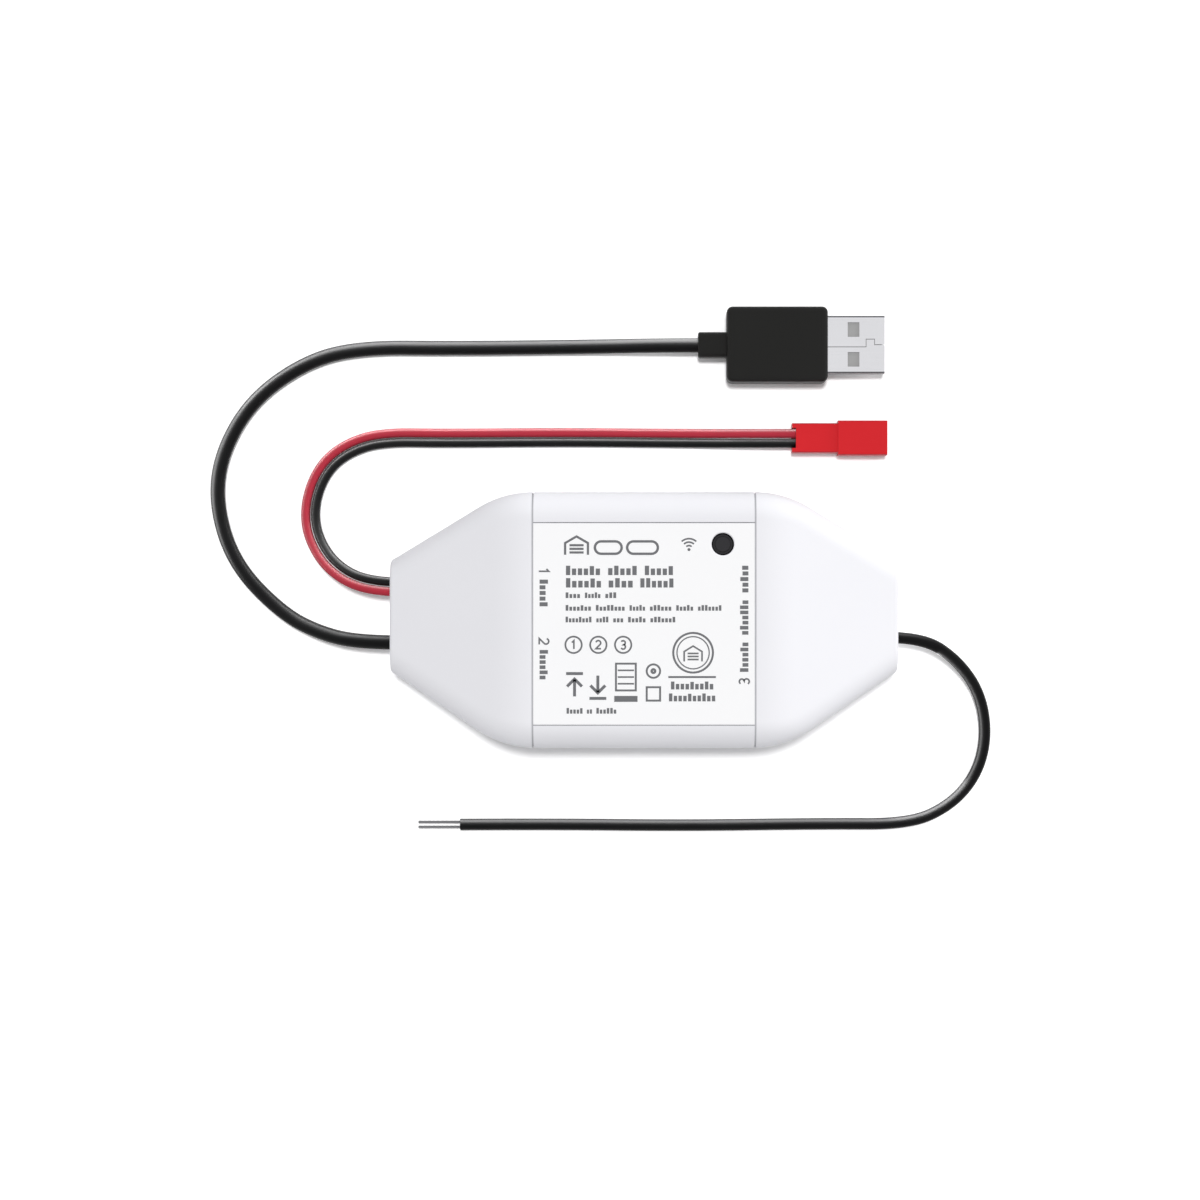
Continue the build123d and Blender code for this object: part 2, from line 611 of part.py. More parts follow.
def make_face_label():
    """The printed sheet in the recess of the centre cover."""
    half_length = COVER_LENGTH / 2
    low_y = -LABEL_WIDTH / 2 - LABEL_LOWERED
    sheet = block((-half_length, low_y, LABEL_BED), (half_length, low_y + LABEL_WIDTH, CASE_HEIGHT))
    hole = BUTTON_RADIUS + BUTTON_CLEARANCE + LABEL_HOLE_CLEARANCE
    return sheet - rod(BUTTON_X, BUTTON_Y, LABEL_BED - OVERRUN, CASE_HEIGHT + OVERRUN, hole)


def make_screw(length, radius, head_radius, head_height):
    """A pan head screw with a cross drive, its seat at zero and its shank pointing up."""
    head = rod(0, 0, -head_height, 0, head_radius)
    head = fillet(head.edges().sort_by(Axis.Z)[0], head_height / 3)
    drive = Box(DRIVE_SPAN, DRIVE_WIDTH, 2 * DRIVE_DEPTH) + Box(DRIVE_WIDTH, DRIVE_SPAN, 2 * DRIVE_DEPTH)
    return head + rod(0, 0, 0, length, radius) - Pos(0, 0, -head_height) * drive


def make_case_screws():
    """The six case screws, driven up from the rear."""
    screw = make_screw(SCREW_LENGTH, SCREW_RADIUS, SCREW_HEAD_RADIUS, SCREW_HEAD_HEIGHT)
    return Compound(children=[Pos(x, y, SCREW_SEAT) * screw for x, y in screw_places()])


def make_board_screws():
    """The two board screws, driven down from above."""
    length = BOARD_SCREW_LENGTH - SCREW_TIP_CLEARANCE
    screw = make_screw(length, BOARD_SCREW_RADIUS, BOARD_SCREW_HEAD_RADIUS, BOARD_SCREW_HEAD_HEIGHT)
    turned = Rot(180, 0, 0) * screw
    return Compound(children=[Pos(x, y, BOARD_TOP) * turned for x, y in board_screw_places()])


# Circuit board and what stands on it

def relay_pin_places():
    """The places of the relay's pins."""
    return [
        (RELAY_X + across * RELAY_WIDTH, BETWEEN_BOSSES_Y + along * RELAY_LENGTH)
        for across, along in RELAY_PIN_SHARES
    ]


def capacitor_lead_places():
    """The places of the capacitor's two leads."""
    half = CAPACITOR_LEAD_PITCH / 2
    return [(-BOSS_X, BETWEEN_BOSSES_Y - half), (-BOSS_X, BETWEEN_BOSSES_Y + half)]


def column_places():
    """The places of the transistor, the regulator and the diode, in a column from a boss up."""
    y = BOSS_PLACE_SHARES[0] * BOARD_WIDTH + BOSS_RADIUS
    places = []
    for depth in (TRANSISTOR_WIDTH, REGULATOR_WIDTH + 2 * TAB_REACH, DIODE_WIDTH):
        y += PART_GAP + depth
        places.append((BOSS_X, y - depth / 2))
    return places


def header_pin_places():
    """The places where the header pins go through the board, with the side that each header is on."""
    x = HEADER_X - HEADER_LENGTH - HEADER_PIN_SETBACK
    return [
        (side, side * x, y + half * HEADER_PIN_PITCH / 2)
        for side, y in COLLAR_PLACES for half in (-1, 1)
    ]


def make_circuit_board():
    """The board, with its screw holes and pin holes."""
    outline = RectangleRounded(BOARD_LENGTH, BOARD_WIDTH, BOARD_CORNER_RADIUS)
    board = Pos(0, 0, BOARD_BOTTOM) * extrude(outline, BOARD_THICKNESS)
    holes = [(x, y, SCREW_RADIUS + HOLE_CLEARANCE) for x, y in screw_places() if abs(x) < BOARD_LENGTH / 2]
    holes += [(x, y, BOARD_SCREW_RADIUS + HOLE_CLEARANCE) for x, y in board_screw_places()]
    holes += [(x, y, RELAY_PIN_RADIUS + HOLE_CLEARANCE) for x, y in relay_pin_places()]
    holes += [(x, y, CAPACITOR_LEAD_RADIUS + HOLE_CLEARANCE) for x, y in capacitor_lead_places()]
    holes += [(x, y, HEADER_PIN_RADIUS + HOLE_CLEARANCE) for _, x, y in header_pin_places()]
    for x, y, radius in holes:
        board -= rod(x, y, BOARD_BOTTOM - OVERRUN, BOARD_TOP + OVERRUN, radius)
    return board


def make_module():
    """The radio module: its own small board, a shield can and a folded antenna track."""
    board = seated(MODULE_X, MODULE_Y, MODULE_WIDTH, MODULE_LENGTH, MODULE_THICKNESS)
    top = BOARD_TOP + MODULE_THICKNESS
    can_end = MODULE_Y + MODULE_LENGTH / 2 - CAN_FROM_MODULE_END
    can_start = can_end - CAN_LENGTH
    low_x = MODULE_X - CAN_WIDTH / 2
    high_x = MODULE_X + CAN_WIDTH / 2
    can = block((low_x, can_start, top), (high_x, can_end, top + CAN_HEIGHT))
    can -= block(
        (low_x + CAN_WALL, can_start + CAN_WALL, top - OVERRUN),
        (high_x - CAN_WALL, can_end - CAN_WALL, top + CAN_HEIGHT - CAN_WALL),
    )
    half_track = ANTENNA_TRACK / 2
    low_y = MODULE_Y - MODULE_LENGTH / 2 + CAN_FROM_MODULE_END
    high_y = low_y + ANTENNA_HEIGHT
    first_x = MODULE_X - ANTENNA_PITCH * (ANTENNA_LEGS - 1) / 2
    antenna = None
    for leg in range(ANTENNA_LEGS):
        leg_x = first_x + leg * ANTENNA_PITCH
        track = block(
            (leg_x - half_track, low_y, top),
            (leg_x + half_track, high_y, top + ANTENNA_THICKNESS),
        )
        antenna = track if antenna is None else antenna + track
        if leg + 1 < ANTENNA_LEGS:
            link_y = low_y if leg % 2 else high_y - ANTENNA_TRACK
            antenna += block(
                (leg_x, link_y, top),
                (leg_x + ANTENNA_PITCH, link_y + ANTENNA_TRACK, top + ANTENNA_THICKNESS),
            )
    return board, can, antenna


def make_relay():
    """The sealed relay: base, case and pins through the board."""
    base = seated(RELAY_X, BETWEEN_BOSSES_Y, RELAY_WIDTH, RELAY_LENGTH, RELAY_BASE_HEIGHT)
    case = seated(RELAY_X, BETWEEN_BOSSES_Y, RELAY_WIDTH, RELAY_LENGTH, RELAY_HEIGHT) - base
    upright_edges = [edge for edge in case.edges() if is_upright(edge)]
    case = fillet(upright_edges + case.faces().sort_by(Axis.Z)[-1].edges(), RELAY_EDGE_RADIUS)
    pins = Compound(children=[
        rod(px, py, BOARD_BOTTOM - PIN_STANDOUT, BOARD_TOP, RELAY_PIN_RADIUS)
        for px, py in relay_pin_places()
    ])
    return base, case, pins


def make_capacitor():
    """The upright capacitor that smooths the supply, with its two leads."""
    can = rod(-BOSS_X, BETWEEN_BOSSES_Y, BOARD_TOP, BOARD_TOP + CAPACITOR_HEIGHT, CAPACITOR_RADIUS)
    can = fillet(can.edges().filter_by(GeomType.CIRCLE), CAPACITOR_EDGE_RADIUS)
    leads = Compound(children=[
        rod(px, py, BOARD_BOTTOM - PIN_STANDOUT, BOARD_TOP, CAPACITOR_LEAD_RADIUS)
        for px, py in capacitor_lead_places()
    ])
    return can, leads


def make_regulator():
    """The voltage regulator, with three narrow tabs on one side and a wide one on the other."""
    _, (x, y), _ = column_places()
    body = seated(x, y, REGULATOR_LENGTH, REGULATOR_WIDTH, REGULATOR_HEIGHT)
    edge = REGULATOR_WIDTH / 2
    tabs = [
        seated(x + step * TAB_PITCH, y - edge - TAB_REACH / 2, TAB_WIDTH, TAB_REACH, TAB_THICKNESS)
        for step in (-1, 0, 1)
    ]
    tabs.append(seated(x, y + edge + TAB_REACH / 2, WIDE_TAB_WIDTH, TAB_REACH, TAB_THICKNESS))
    return body, Compound(children=tabs)


def make_chips(row_share, height):
    """A row of small chip parts on the board."""
    y = row_share * BOARD_WIDTH
    return Compound(children=[
        seated(share * BOARD_LENGTH, y, CHIP_LENGTH, CHIP_WIDTH, height)
        for share in CHIP_PLACE_SHARES
    ])


def make_transistor():
    """The transistor that switches the relay."""
    (x, y), _, _ = column_places()
    return seated(x, y, TRANSISTOR_LENGTH, TRANSISTOR_WIDTH, TRANSISTOR_HEIGHT)


def make_diode():
    """The diode across the relay's coil."""
    _, _, (x, y) = column_places()
    return seated(x, y, DIODE_LENGTH, DIODE_WIDTH, DIODE_HEIGHT)


def make_light():
    """The status light on the board and the clear rod that leads its light up to the label."""
    led = seated(LIGHT_X, BUTTON_Y, LED_LENGTH, LED_WIDTH, LED_HEIGHT)
    bottom = BOARD_TOP + LED_HEIGHT + LIGHT_GUIDE_GAP
    guide = rod(LIGHT_X, BUTTON_Y, bottom, LABEL_BED - LIGHT_GUIDE_CLEARANCE, LIGHT_GUIDE_RADIUS)
    flange_top = GUIDE_END - LIGHT_GUIDE_CLEARANCE
    flange_bottom = flange_top - LIGHT_GUIDE_FLANGE_THICKNESS
    return led, guide + rod(LIGHT_X, BUTTON_Y, flange_bottom, flange_top, LIGHT_GUIDE_FLANGE_RADIUS)


# Button and switch

def make_button_cap():
    """The button: a barrel with a raised disc, a flange that keeps it in its guide, and a stem."""
    disc_top = CASE_HEIGHT - BUTTON_SETBACK
    barrel_top = disc_top - BUTTON_DISC_RISE
    flange_top = GUIDE_END - BUTTON_GAP
    flange_bottom = flange_top - BUTTON_FLANGE_THICKNESS
    barrel = rod(BUTTON_X, BUTTON_Y, flange_top, barrel_top, BUTTON_RADIUS)
    barrel = fillet(barrel.edges().filter_by(GeomType.CIRCLE).sort_by(Axis.Z)[-1], BUTTON_EDGE_RADIUS)
    disc = rod(BUTTON_X, BUTTON_Y, barrel_top - BUTTON_EDGE_RADIUS, disc_top, BUTTON_DISC_RADIUS)
    disc = fillet(disc.edges().filter_by(GeomType.CIRCLE).sort_by(Axis.Z)[-1], BUTTON_EDGE_RADIUS / 2)
    flange = rod(BUTTON_X, BUTTON_Y, flange_bottom, flange_top, BUTTON_FLANGE_RADIUS)
    stem = rod(BUTTON_X, BUTTON_Y, PLUNGER_TOP + BUTTON_GAP, flange_bottom, BUTTON_STEM_RADIUS)
    return barrel + disc + flange + stem


def make_switch():
    """The small push switch: base with a well, metal cover, plunger and four legs."""
    collar_top = SWITCH_BASE_TOP - BUTTON_GAP
    collar_bottom = collar_top - PLUNGER_COLLAR_HEIGHT
    well_bottom = collar_bottom - BUTTON_TRAVEL - BUTTON_CLEARANCE
    well_radius = PLUNGER_COLLAR_RADIUS + BUTTON_CLEARANCE
    block_below = seated(BUTTON_X, BUTTON_Y, SWITCH_SIDE, SWITCH_SIDE, SWITCH_BASE_HEIGHT)
    base = block_below - rod(BUTTON_X, BUTTON_Y, well_bottom, SWITCH_BASE_TOP + OVERRUN, well_radius)
    cover_height = SWITCH_BASE_HEIGHT + SWITCH_COVER_THICKNESS
    cover = seated(BUTTON_X, BUTTON_Y, SWITCH_SIDE, SWITCH_SIDE, cover_height) - block_below
    cover -= rod(BUTTON_X, BUTTON_Y, BOARD_TOP, PLUNGER_TOP, PLUNGER_RADIUS + BUTTON_CLEARANCE)
    plunger = rod(BUTTON_X, BUTTON_Y, collar_bottom, PLUNGER_TOP, PLUNGER_RADIUS)
    plunger += rod(BUTTON_X, BUTTON_Y, collar_bottom, collar_top, PLUNGER_COLLAR_RADIUS)
    legs = []
    thickness = SWITCH_LEG_THICKNESS
    for side in (-1, 1):
        root = BUTTON_X + side * SWITCH_SIDE / 2
        for share in SWITCH_LEG_SHARES:
            y = BUTTON_Y + share * SWITCH_SIDE
            foot_x = root + side * SWITCH_LEG_REACH / 2
            foot = seated(foot_x, y, SWITCH_LEG_REACH, SWITCH_LEG_WIDTH, thickness)
            riser_x = root + side * thickness / 2
            riser = seated(riser_x, y, thickness, SWITCH_LEG_WIDTH, SWITCH_BASE_HEIGHT / 2)
            legs.append(foot + riser)
    return base, cover, plunger, Compound(children=legs)


# Wire headers, their plugs, the leads inside the case and the strain relief collars

def make_header(side, y):
    """A wire header that opens towards the near end of the case, and the plug in it."""
    mouth = side * HEADER_X
    back = side * (HEADER_X - HEADER_LENGTH)
    floor = side * (HEADER_X - HEADER_POCKET)
    header = seated((mouth + back) / 2, y, HEADER_LENGTH, HEADER_WIDTH, HEADER_HEIGHT)
    inner_half = HEADER_WIDTH / 2 - HEADER_WALL
    past_mouth = mouth + side * OVERRUN
    header -= block(
        (min(floor, past_mouth), y - inner_half, BOARD_TOP + HEADER_WALL),
        (max(floor, past_mouth), y + inner_half, BOARD_TOP + HEADER_HEIGHT - HEADER_WALL),
    )
    plug_half = inner_half - PLUG_CLEARANCE
    plug_front = floor + side * PLUG_CLEARANCE
    plug_rear = mouth + side * PLUG_STANDOUT
    margin = HEADER_WALL + PLUG_CLEARANCE
    plug = block(
        (min(plug_front, plug_rear), y - plug_half, BOARD_TOP + margin),
        (max(plug_front, plug_rear), y + plug_half, BOARD_TOP + HEADER_HEIGHT - margin),
    )
    bore = HEADER_PIN_RADIUS + PLUG_CLEARANCE
    pin_end = floor + side * (HEADER_PIN_REACH + PLUG_CLEARANCE)
    for half_pitch in (-HEADER_PIN_PITCH / 2, HEADER_PIN_PITCH / 2):
        pin_y = y + half_pitch
        header -= rod_along_x(back - side * OVERRUN, floor + side * OVERRUN, pin_y, HEADER_AXIS, bore)
        plug -= rod_along_x(floor, pin_end, pin_y, HEADER_AXIS, bore)
    return header, plug


def make_header_pins():
    """The bent pins of the headers: through the board, up behind a header and into its pocket."""
    pins = []
    for side, x, y in header_pin_places():
        end = side * (HEADER_X - HEADER_POCKET + HEADER_PIN_REACH)
        upright = rod(x, y, BOARD_BOTTOM - PIN_STANDOUT, HEADER_AXIS, HEADER_PIN_RADIUS)
        elbow = Pos(x, y, HEADER_AXIS) * Sphere(HEADER_PIN_RADIUS)
        pins.append(upright + elbow + rod_along_x(x, end, y, HEADER_AXIS, HEADER_PIN_RADIUS))
    return Compound(children=pins)


def corner_radii(points):
    """The radius of each corner of a route: as large as its two runs allow."""
    radii = []
    for before, corner, after in zip(points, points[1:], points[2:]):
        into = Vector(corner) - Vector(before)
        out = Vector(after) - Vector(corner)
        turn = into.get_angle(out)
        radii.append(CORNER_SHARE * min(into.length, out.length) / tan(radians(turn / 2)))
    return radii


def make_tube(points, radius):
    """A round tube along straight runs joined by tangent arcs."""
    path = FilletPolyline(*points, radius=corner_radii(points))
    section = Plane(origin=points[0], z_dir=Vector(points[1]) - Vector(points[0])) * Circle(radius)
    return sweep(section, path), path


def make_cord(name, points, radius):
    """A free cord, with its radii, its length and its volume printed."""
    tube, path = make_tube(points, radius)
    least = min(corner_radii(points))
    share = tube.volume / (pi * radius * radius * path.length)
    print(f"{name}: {path.length:.1f} mm long, volume share {share:.4f}, tightest {least:.1f} mm")
    print("  radii", [round(r, 1) for r in corner_radii(points)])
    return tube


def beside(points, offset):
    """A route that runs beside another in plan, to its left for a positive offset."""
    flat = [Vector(x, y, 0) for x, y, _ in points]
    legs = [(after - before).normalized() for before, after in zip(flat, flat[1:])]
    legs = [legs[0]] + legs + [legs[-1]]
    moved = []
    for point, before, after in zip(points, legs, legs[1:]):
        across = Vector(-before.Y - after.Y, before.X + after.X)
        shift = across * (offset / (1 + before.dot(after)))
        moved.append((point[0] + shift.X, point[1] + shift.Y, point[2]))
    return moved


def make_leads(side, y):
    """The two leads inside the case, from a collar to the plug on the board."""
    start = COLLAR_FACE_X - COLLAR_LENGTH
    end = HEADER_X + PLUG_STANDOUT
    first, second = [start + share * (end - start) for share in LEAD_BEND_SHARES]
    leads = []
    for half_pitch in (-HEADER_PIN_PITCH / 2, HEADER_PIN_PITCH / 2):
        lead_y = y + half_pitch
        points = [
            (side * start, lead_y, PARTING_HEIGHT), (side * first, lead_y, PARTING_HEIGHT),
            (side * second, lead_y, HEADER_AXIS), (side * end, lead_y, HEADER_AXIS),
        ]
        leads.append(make_tube(points, LEAD_RADIUS)[0])
    return leads


def make_collar(side, y):
    """A strain relief collar, moulded on the cord and trapped between the end wall and a rib."""
    collar = collar_block(side, y, 0)
    long_edges = [edge for edge in collar.edges() if edge.bounding_box().size.X > COLLAR_EDGE_RADIUS]
    return fillet(long_edges, COLLAR_EDGE_RADIUS)


# Plug on the power cord

def make_usb_overmould():
    """The plug's moulded body, with a pocket for the metal shell."""
    body = block(
        (USB_BODY_X, USB_Y - USB_BODY_WIDTH / 2, 0),
        (USB_SHELL_X, USB_Y + USB_BODY_WIDTH / 2, USB_BODY_HEIGHT),
    )
    body = fillet([edge for edge in body.edges() if is_upright(edge)], USB_BODY_CORNER_RADIUS)
    flat = [edge for edge in body.edges() if edge.bounding_box().size.Z < NEAR]
    body = fillet(flat, USB_BODY_EDGE_RADIUS)
    pocket_start = USB_SHELL_X - USB_SHELL_INSERT - USB_SHELL_CLEARANCE
    return body - rounded_bar(
        pocket_start, USB_FRONT_X, USB_Y, USB_AXIS,
        USB_SHELL_WIDTH + 2 * USB_SHELL_CLEARANCE,
        USB_SHELL_HEIGHT + 2 * USB_SHELL_CLEARANCE,
        USB_SHELL_CORNER_RADIUS,
    )


def make_usb_strain_relief():
    """The short neck behind the plug's body, which the cord ends in."""
    neck = rounded_bar(
        USB_REAR_X, USB_BODY_X, USB_Y, USB_AXIS,
        USB_NECK_WIDTH, USB_NECK_HEIGHT, USB_NECK_EDGE_RADIUS,
    )
    rear = neck.faces().sort_by(Axis.X)[0]
    return fillet(rear.edges(), USB_NECK_EDGE_RADIUS / 3)


def make_usb_shell():
    """The plug's folded metal shell, with its windows and the seam along its upper face."""
    start = USB_SHELL_X - USB_SHELL_INSERT
    corner = USB_SHELL_CORNER_RADIUS
    inner_width = USB_SHELL_WIDTH - 2 * USB_SHELL_THICKNESS
    inner_height = USB_SHELL_HEIGHT - 2 * USB_SHELL_THICKNESS
    shell = rounded_bar(start, USB_FRONT_X, USB_Y, USB_AXIS, USB_SHELL_WIDTH, USB_SHELL_HEIGHT, corner)
    shell -= rounded_bar(
        start - OVERRUN, USB_FRONT_X + OVERRUN, USB_Y, USB_AXIS,
        inner_width, inner_height, corner - USB_SHELL_THICKNESS,
    )
    window_x = USB_FRONT_X - USB_WINDOW_FROM_FRONT
    for side in (-1, 1):
        place = Pos(window_x, USB_Y + side * USB_WINDOW_PITCH / 2, USB_AXIS)
        shell -= place * Box(USB_WINDOW_LENGTH, USB_WINDOW_WIDTH, USB_BODY_HEIGHT)
    stations = [start - OVERRUN] + [USB_FRONT_X - step for step in USB_SEAM_STEPS] + [USB_FRONT_X + OVERRUN]
    offsets = [USB_SEAM_OFFSET] + list(USB_SEAM_JOGS)
    half = USB_SEAM_WIDTH / 2
    level = USB_AXIS + inner_height / 2 - USB_SHELL_THICKNESS
    previous = None
    for left, right, offset in zip(stations, stations[1:], offsets):
        y = USB_Y + offset
        shell -= block((left - half, y - half, level), (right + half, y + half, USB_BODY_HEIGHT))
        if previous is not None:
            low = (left - half, min(y, previous), level)
            shell -= block(low, (left + half, max(y, previous), USB_BODY_HEIGHT))
        previous = y
    return shell


def make_usb_tongue():
    """The insulator in the metal shell: a block at the back and a tongue under the upper face."""
    half = USB_SHELL_WIDTH / 2 - USB_SHELL_THICKNESS - USB_TONGUE_CLEARANCE
    reach = USB_SHELL_HEIGHT / 2 - USB_SHELL_THICKNESS - USB_TONGUE_CLEARANCE
    start = USB_SHELL_X - USB_SHELL_INSERT
    top = USB_AXIS + reach
    tongue = block(
        (start, USB_Y - half, top - USB_TONGUE_THICKNESS),
        (USB_FRONT_X - USB_TONGUE_SETBACK, USB_Y + half, top),
    )
    root_end = start + USB_TONGUE_ROOT
    tongue += block((start, USB_Y - half, USB_AXIS - reach), (root_end, USB_Y + half, top))
    corner = USB_SHELL_CORNER_RADIUS - USB_SHELL_THICKNESS
    return tongue & rounded_bar(start, USB_FRONT_X, USB_Y, USB_AXIS, 2 * half, 2 * reach, corner)


def make_usb_contacts():
    """The four contacts under the tongue."""
    reach = USB_SHELL_HEIGHT / 2 - USB_SHELL_THICKNESS - USB_TONGUE_CLEARANCE
    top = USB_AXIS + reach - USB_TONGUE_THICKNESS
    front = USB_FRONT_X - USB_TONGUE_SETBACK - USB_CONTACT_SETBACK
    half = USB_CONTACT_WIDTH / 2
    return Compound(children=[
        block(
            (front - length, USB_Y + y - half, top - USB_CONTACT_THICKNESS),
            (front, USB_Y + y + half, top),
        )
        for length, y in zip(USB_CONTACT_LENGTHS, USB_CONTACT_PITCHES)
    ])


# Connector on the sensor wires

def make_sensor_connector():
    """The two-way housing with its hood, its notch over the wires and its latch window, and its pins."""
    edge = CONNECTOR_EDGE_RADIUS
    body = rounded_bar(
        CONNECTOR_REAR_X, CONNECTOR_HOOD_X + edge, CONNECTOR_Y, CONNECTOR_AXIS,
        CONNECTOR_BODY_WIDTH, CONNECTOR_BODY_HEIGHT, edge,
    )
    hood = rounded_bar(
        CONNECTOR_HOOD_X, CONNECTOR_FRONT_X, CONNECTOR_Y, CONNECTOR_AXIS,
        CONNECTOR_HOOD_WIDTH, CONNECTOR_HOOD_HEIGHT, edge,
    )
    housing = body + hood
    cavity_start = CONNECTOR_FRONT_X - CONNECTOR_HOOD_DEPTH
    housing -= rounded_bar(
        cavity_start, CONNECTOR_FRONT_X + OVERRUN, CONNECTOR_Y, CONNECTOR_AXIS,
        CONNECTOR_HOOD_WIDTH - 2 * CONNECTOR_HOOD_WALL,
        CONNECTOR_HOOD_HEIGHT - 2 * CONNECTOR_HOOD_WALL,
        edge,
    )
    latch_x = CONNECTOR_FRONT_X - CONNECTOR_LATCH_FROM_FRONT
    latch_y = CONNECTOR_Y + CONNECTOR_HOOD_WIDTH / 2
    latch_low = CONNECTOR_AXIS - CONNECTOR_LATCH_WIDTH / 2
    housing -= block(
        (latch_x - CONNECTOR_LATCH_LENGTH, CONNECTOR_Y, latch_low),
        (latch_x, latch_y + OVERRUN, latch_low + CONNECTOR_LATCH_WIDTH),
    )
    recess_end = CONNECTOR_REAR_X + CONNECTOR_RECESS_DEPTH
    recess_radius = SENSOR_WIRE_RADIUS + CONNECTOR_RECESS_CLEARANCE
    bore_radius = CONNECTOR_PIN_RADIUS + CONNECTOR_BORE_CLEARANCE
    pin_end = cavity_start + CONNECTOR_PIN_REACH
    pins = []
    for side in (-1, 1):
        y = CONNECTOR_Y + side * SENSOR_WIRE_PITCH / 2
        housing -= rod_along_x(CONNECTOR_REAR_X - OVERRUN, recess_end, y, CONNECTOR_AXIS, recess_radius)
        housing -= block(
            (CONNECTOR_REAR_X - OVERRUN, y - recess_radius, CONNECTOR_AXIS),
            (CONNECTOR_REAR_X + CONNECTOR_NOTCH_LENGTH, y + recess_radius, CONNECTOR_HOOD_HEIGHT),
        )
        housing -= rod_along_x(recess_end, cavity_start + OVERRUN, y, CONNECTOR_AXIS, bore_radius)
        pins.append(rod_along_x(recess_end, pin_end, y, CONNECTOR_AXIS, CONNECTOR_PIN_RADIUS))
    return housing, Compound(children=pins)


# Bare ends of the signal cord

def make_signal_conductors():
    """The two tinned conductors that stand out of the signal cord's jacket."""
    return Compound(children=[
        rod_along_x(
            JACKET_END_X - CONDUCTOR_LENGTH, JACKET_END_X,
            JACKET_END_Y + side * CONDUCTOR_PITCH / 2, SIGNAL_CORD_RADIUS, CONDUCTOR_RADIUS,
        )
        for side in (-1, 1)
    ])


# All pieces by name

def build_parts():
    """Every piece of the controller, by node name."""
    outer = outer_form()
    cavity = case_form(WALL)
    parts = {
        "rear_shell": make_rear_shell(outer, cavity),
        "centre_cover": make_centre_cover(outer, cavity),
        "left_end_cap": make_end_cap(outer, cavity, -1),
        "right_end_cap": make_end_cap(outer, cavity, 1),
        "face_label": make_face_label(),
        "case_screws": make_case_screws(),
        "board_screws": make_board_screws(),
        "circuit_board": make_circuit_board(),
        "button_cap": make_button_cap(),
        "driver_transistor": make_transistor(),
        "flyback_diode": make_diode(),
        "chip_capacitors": make_chips(CHIP_CAPACITOR_ROW_SHARE, CHIP_CAPACITOR_HEIGHT),
        "chip_resistors": make_chips(CHIP_RESISTOR_ROW_SHARE, CHIP_RESISTOR_HEIGHT),
        "header_pins": make_header_pins(),
        "usb_overmould": make_usb_overmould(),
        "usb_strain_relief": make_usb_strain_relief(),
        "usb_shell": make_usb_shell(),
        "usb_tongue": make_usb_tongue(),
        "usb_contacts": make_usb_contacts(),
        "signal_conductors": make_signal_conductors(),
    }
    groups = (
        (("module_board", "module_shield", "module_antenna"), make_module()),
        (("relay_base", "relay_case", "relay_pins"), make_relay()),
        (("bulk_capacitor", "capacitor_leads"), make_capacitor()),
        (("voltage_regulator", "regulator_tabs"), make_regulator()),
        (("status_led", "light_guide"), make_light()),
        (("switch_base", "switch_cover", "switch_plunger", "switch_legs"), make_switch()),
        (("sensor_connector_housing", "sensor_connector_pins"), make_sensor_connector()),
    )
    for names, shapes in groups:
        parts.update(zip(names, shapes))
    for name, (side, y) in zip(("power", "sensor", "signal"), COLLAR_PLACES):
        parts[f"{name}_header"], parts[f"{name}_lead_plug"] = make_header(side, y)
        parts[f"{name}_collar"] = make_collar(side, y)
        parts[f"{name}_lead_negative"], parts[f"{name}_lead_positive"] = make_leads(side, y)
    red_route = beside(SENSOR_ROUTE, SENSOR_WIRE_PITCH / 2)
    black_route = beside(SENSOR_ROUTE, -SENSOR_WIRE_PITCH / 2)
    parts["power_cord"] = make_cord("power cord", POWER_ROUTE, POWER_CORD_RADIUS)
    parts["sensor_wire_red"] = make_cord("red wire", red_route, SENSOR_WIRE_RADIUS)
    parts["sensor_wire_black"] = make_cord("black wire", black_route, SENSOR_WIRE_RADIUS)
    parts["signal_cord"] = make_cord("signal cord", SIGNAL_ROUTE, SIGNAL_CORD_RADIUS)
    return parts


os.makedirs("parts", exist_ok=True)
for node, shape in build_parts().items():
    export_step(shape, f"parts/{node}.step")
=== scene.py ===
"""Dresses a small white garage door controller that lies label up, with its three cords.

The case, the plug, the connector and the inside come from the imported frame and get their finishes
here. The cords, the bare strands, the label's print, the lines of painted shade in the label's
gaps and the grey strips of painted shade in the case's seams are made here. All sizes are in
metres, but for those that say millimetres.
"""

import json
import logging
import math
from collections.abc import Sequence
from dataclasses import dataclass
from enum import Enum

import bmesh
import bpy
from bmesh.types import BMesh
from bpy.types import Material, Mesh, Node, NodeSocket as Socket, NodeTree, Object
from mathutils import Matrix, Vector


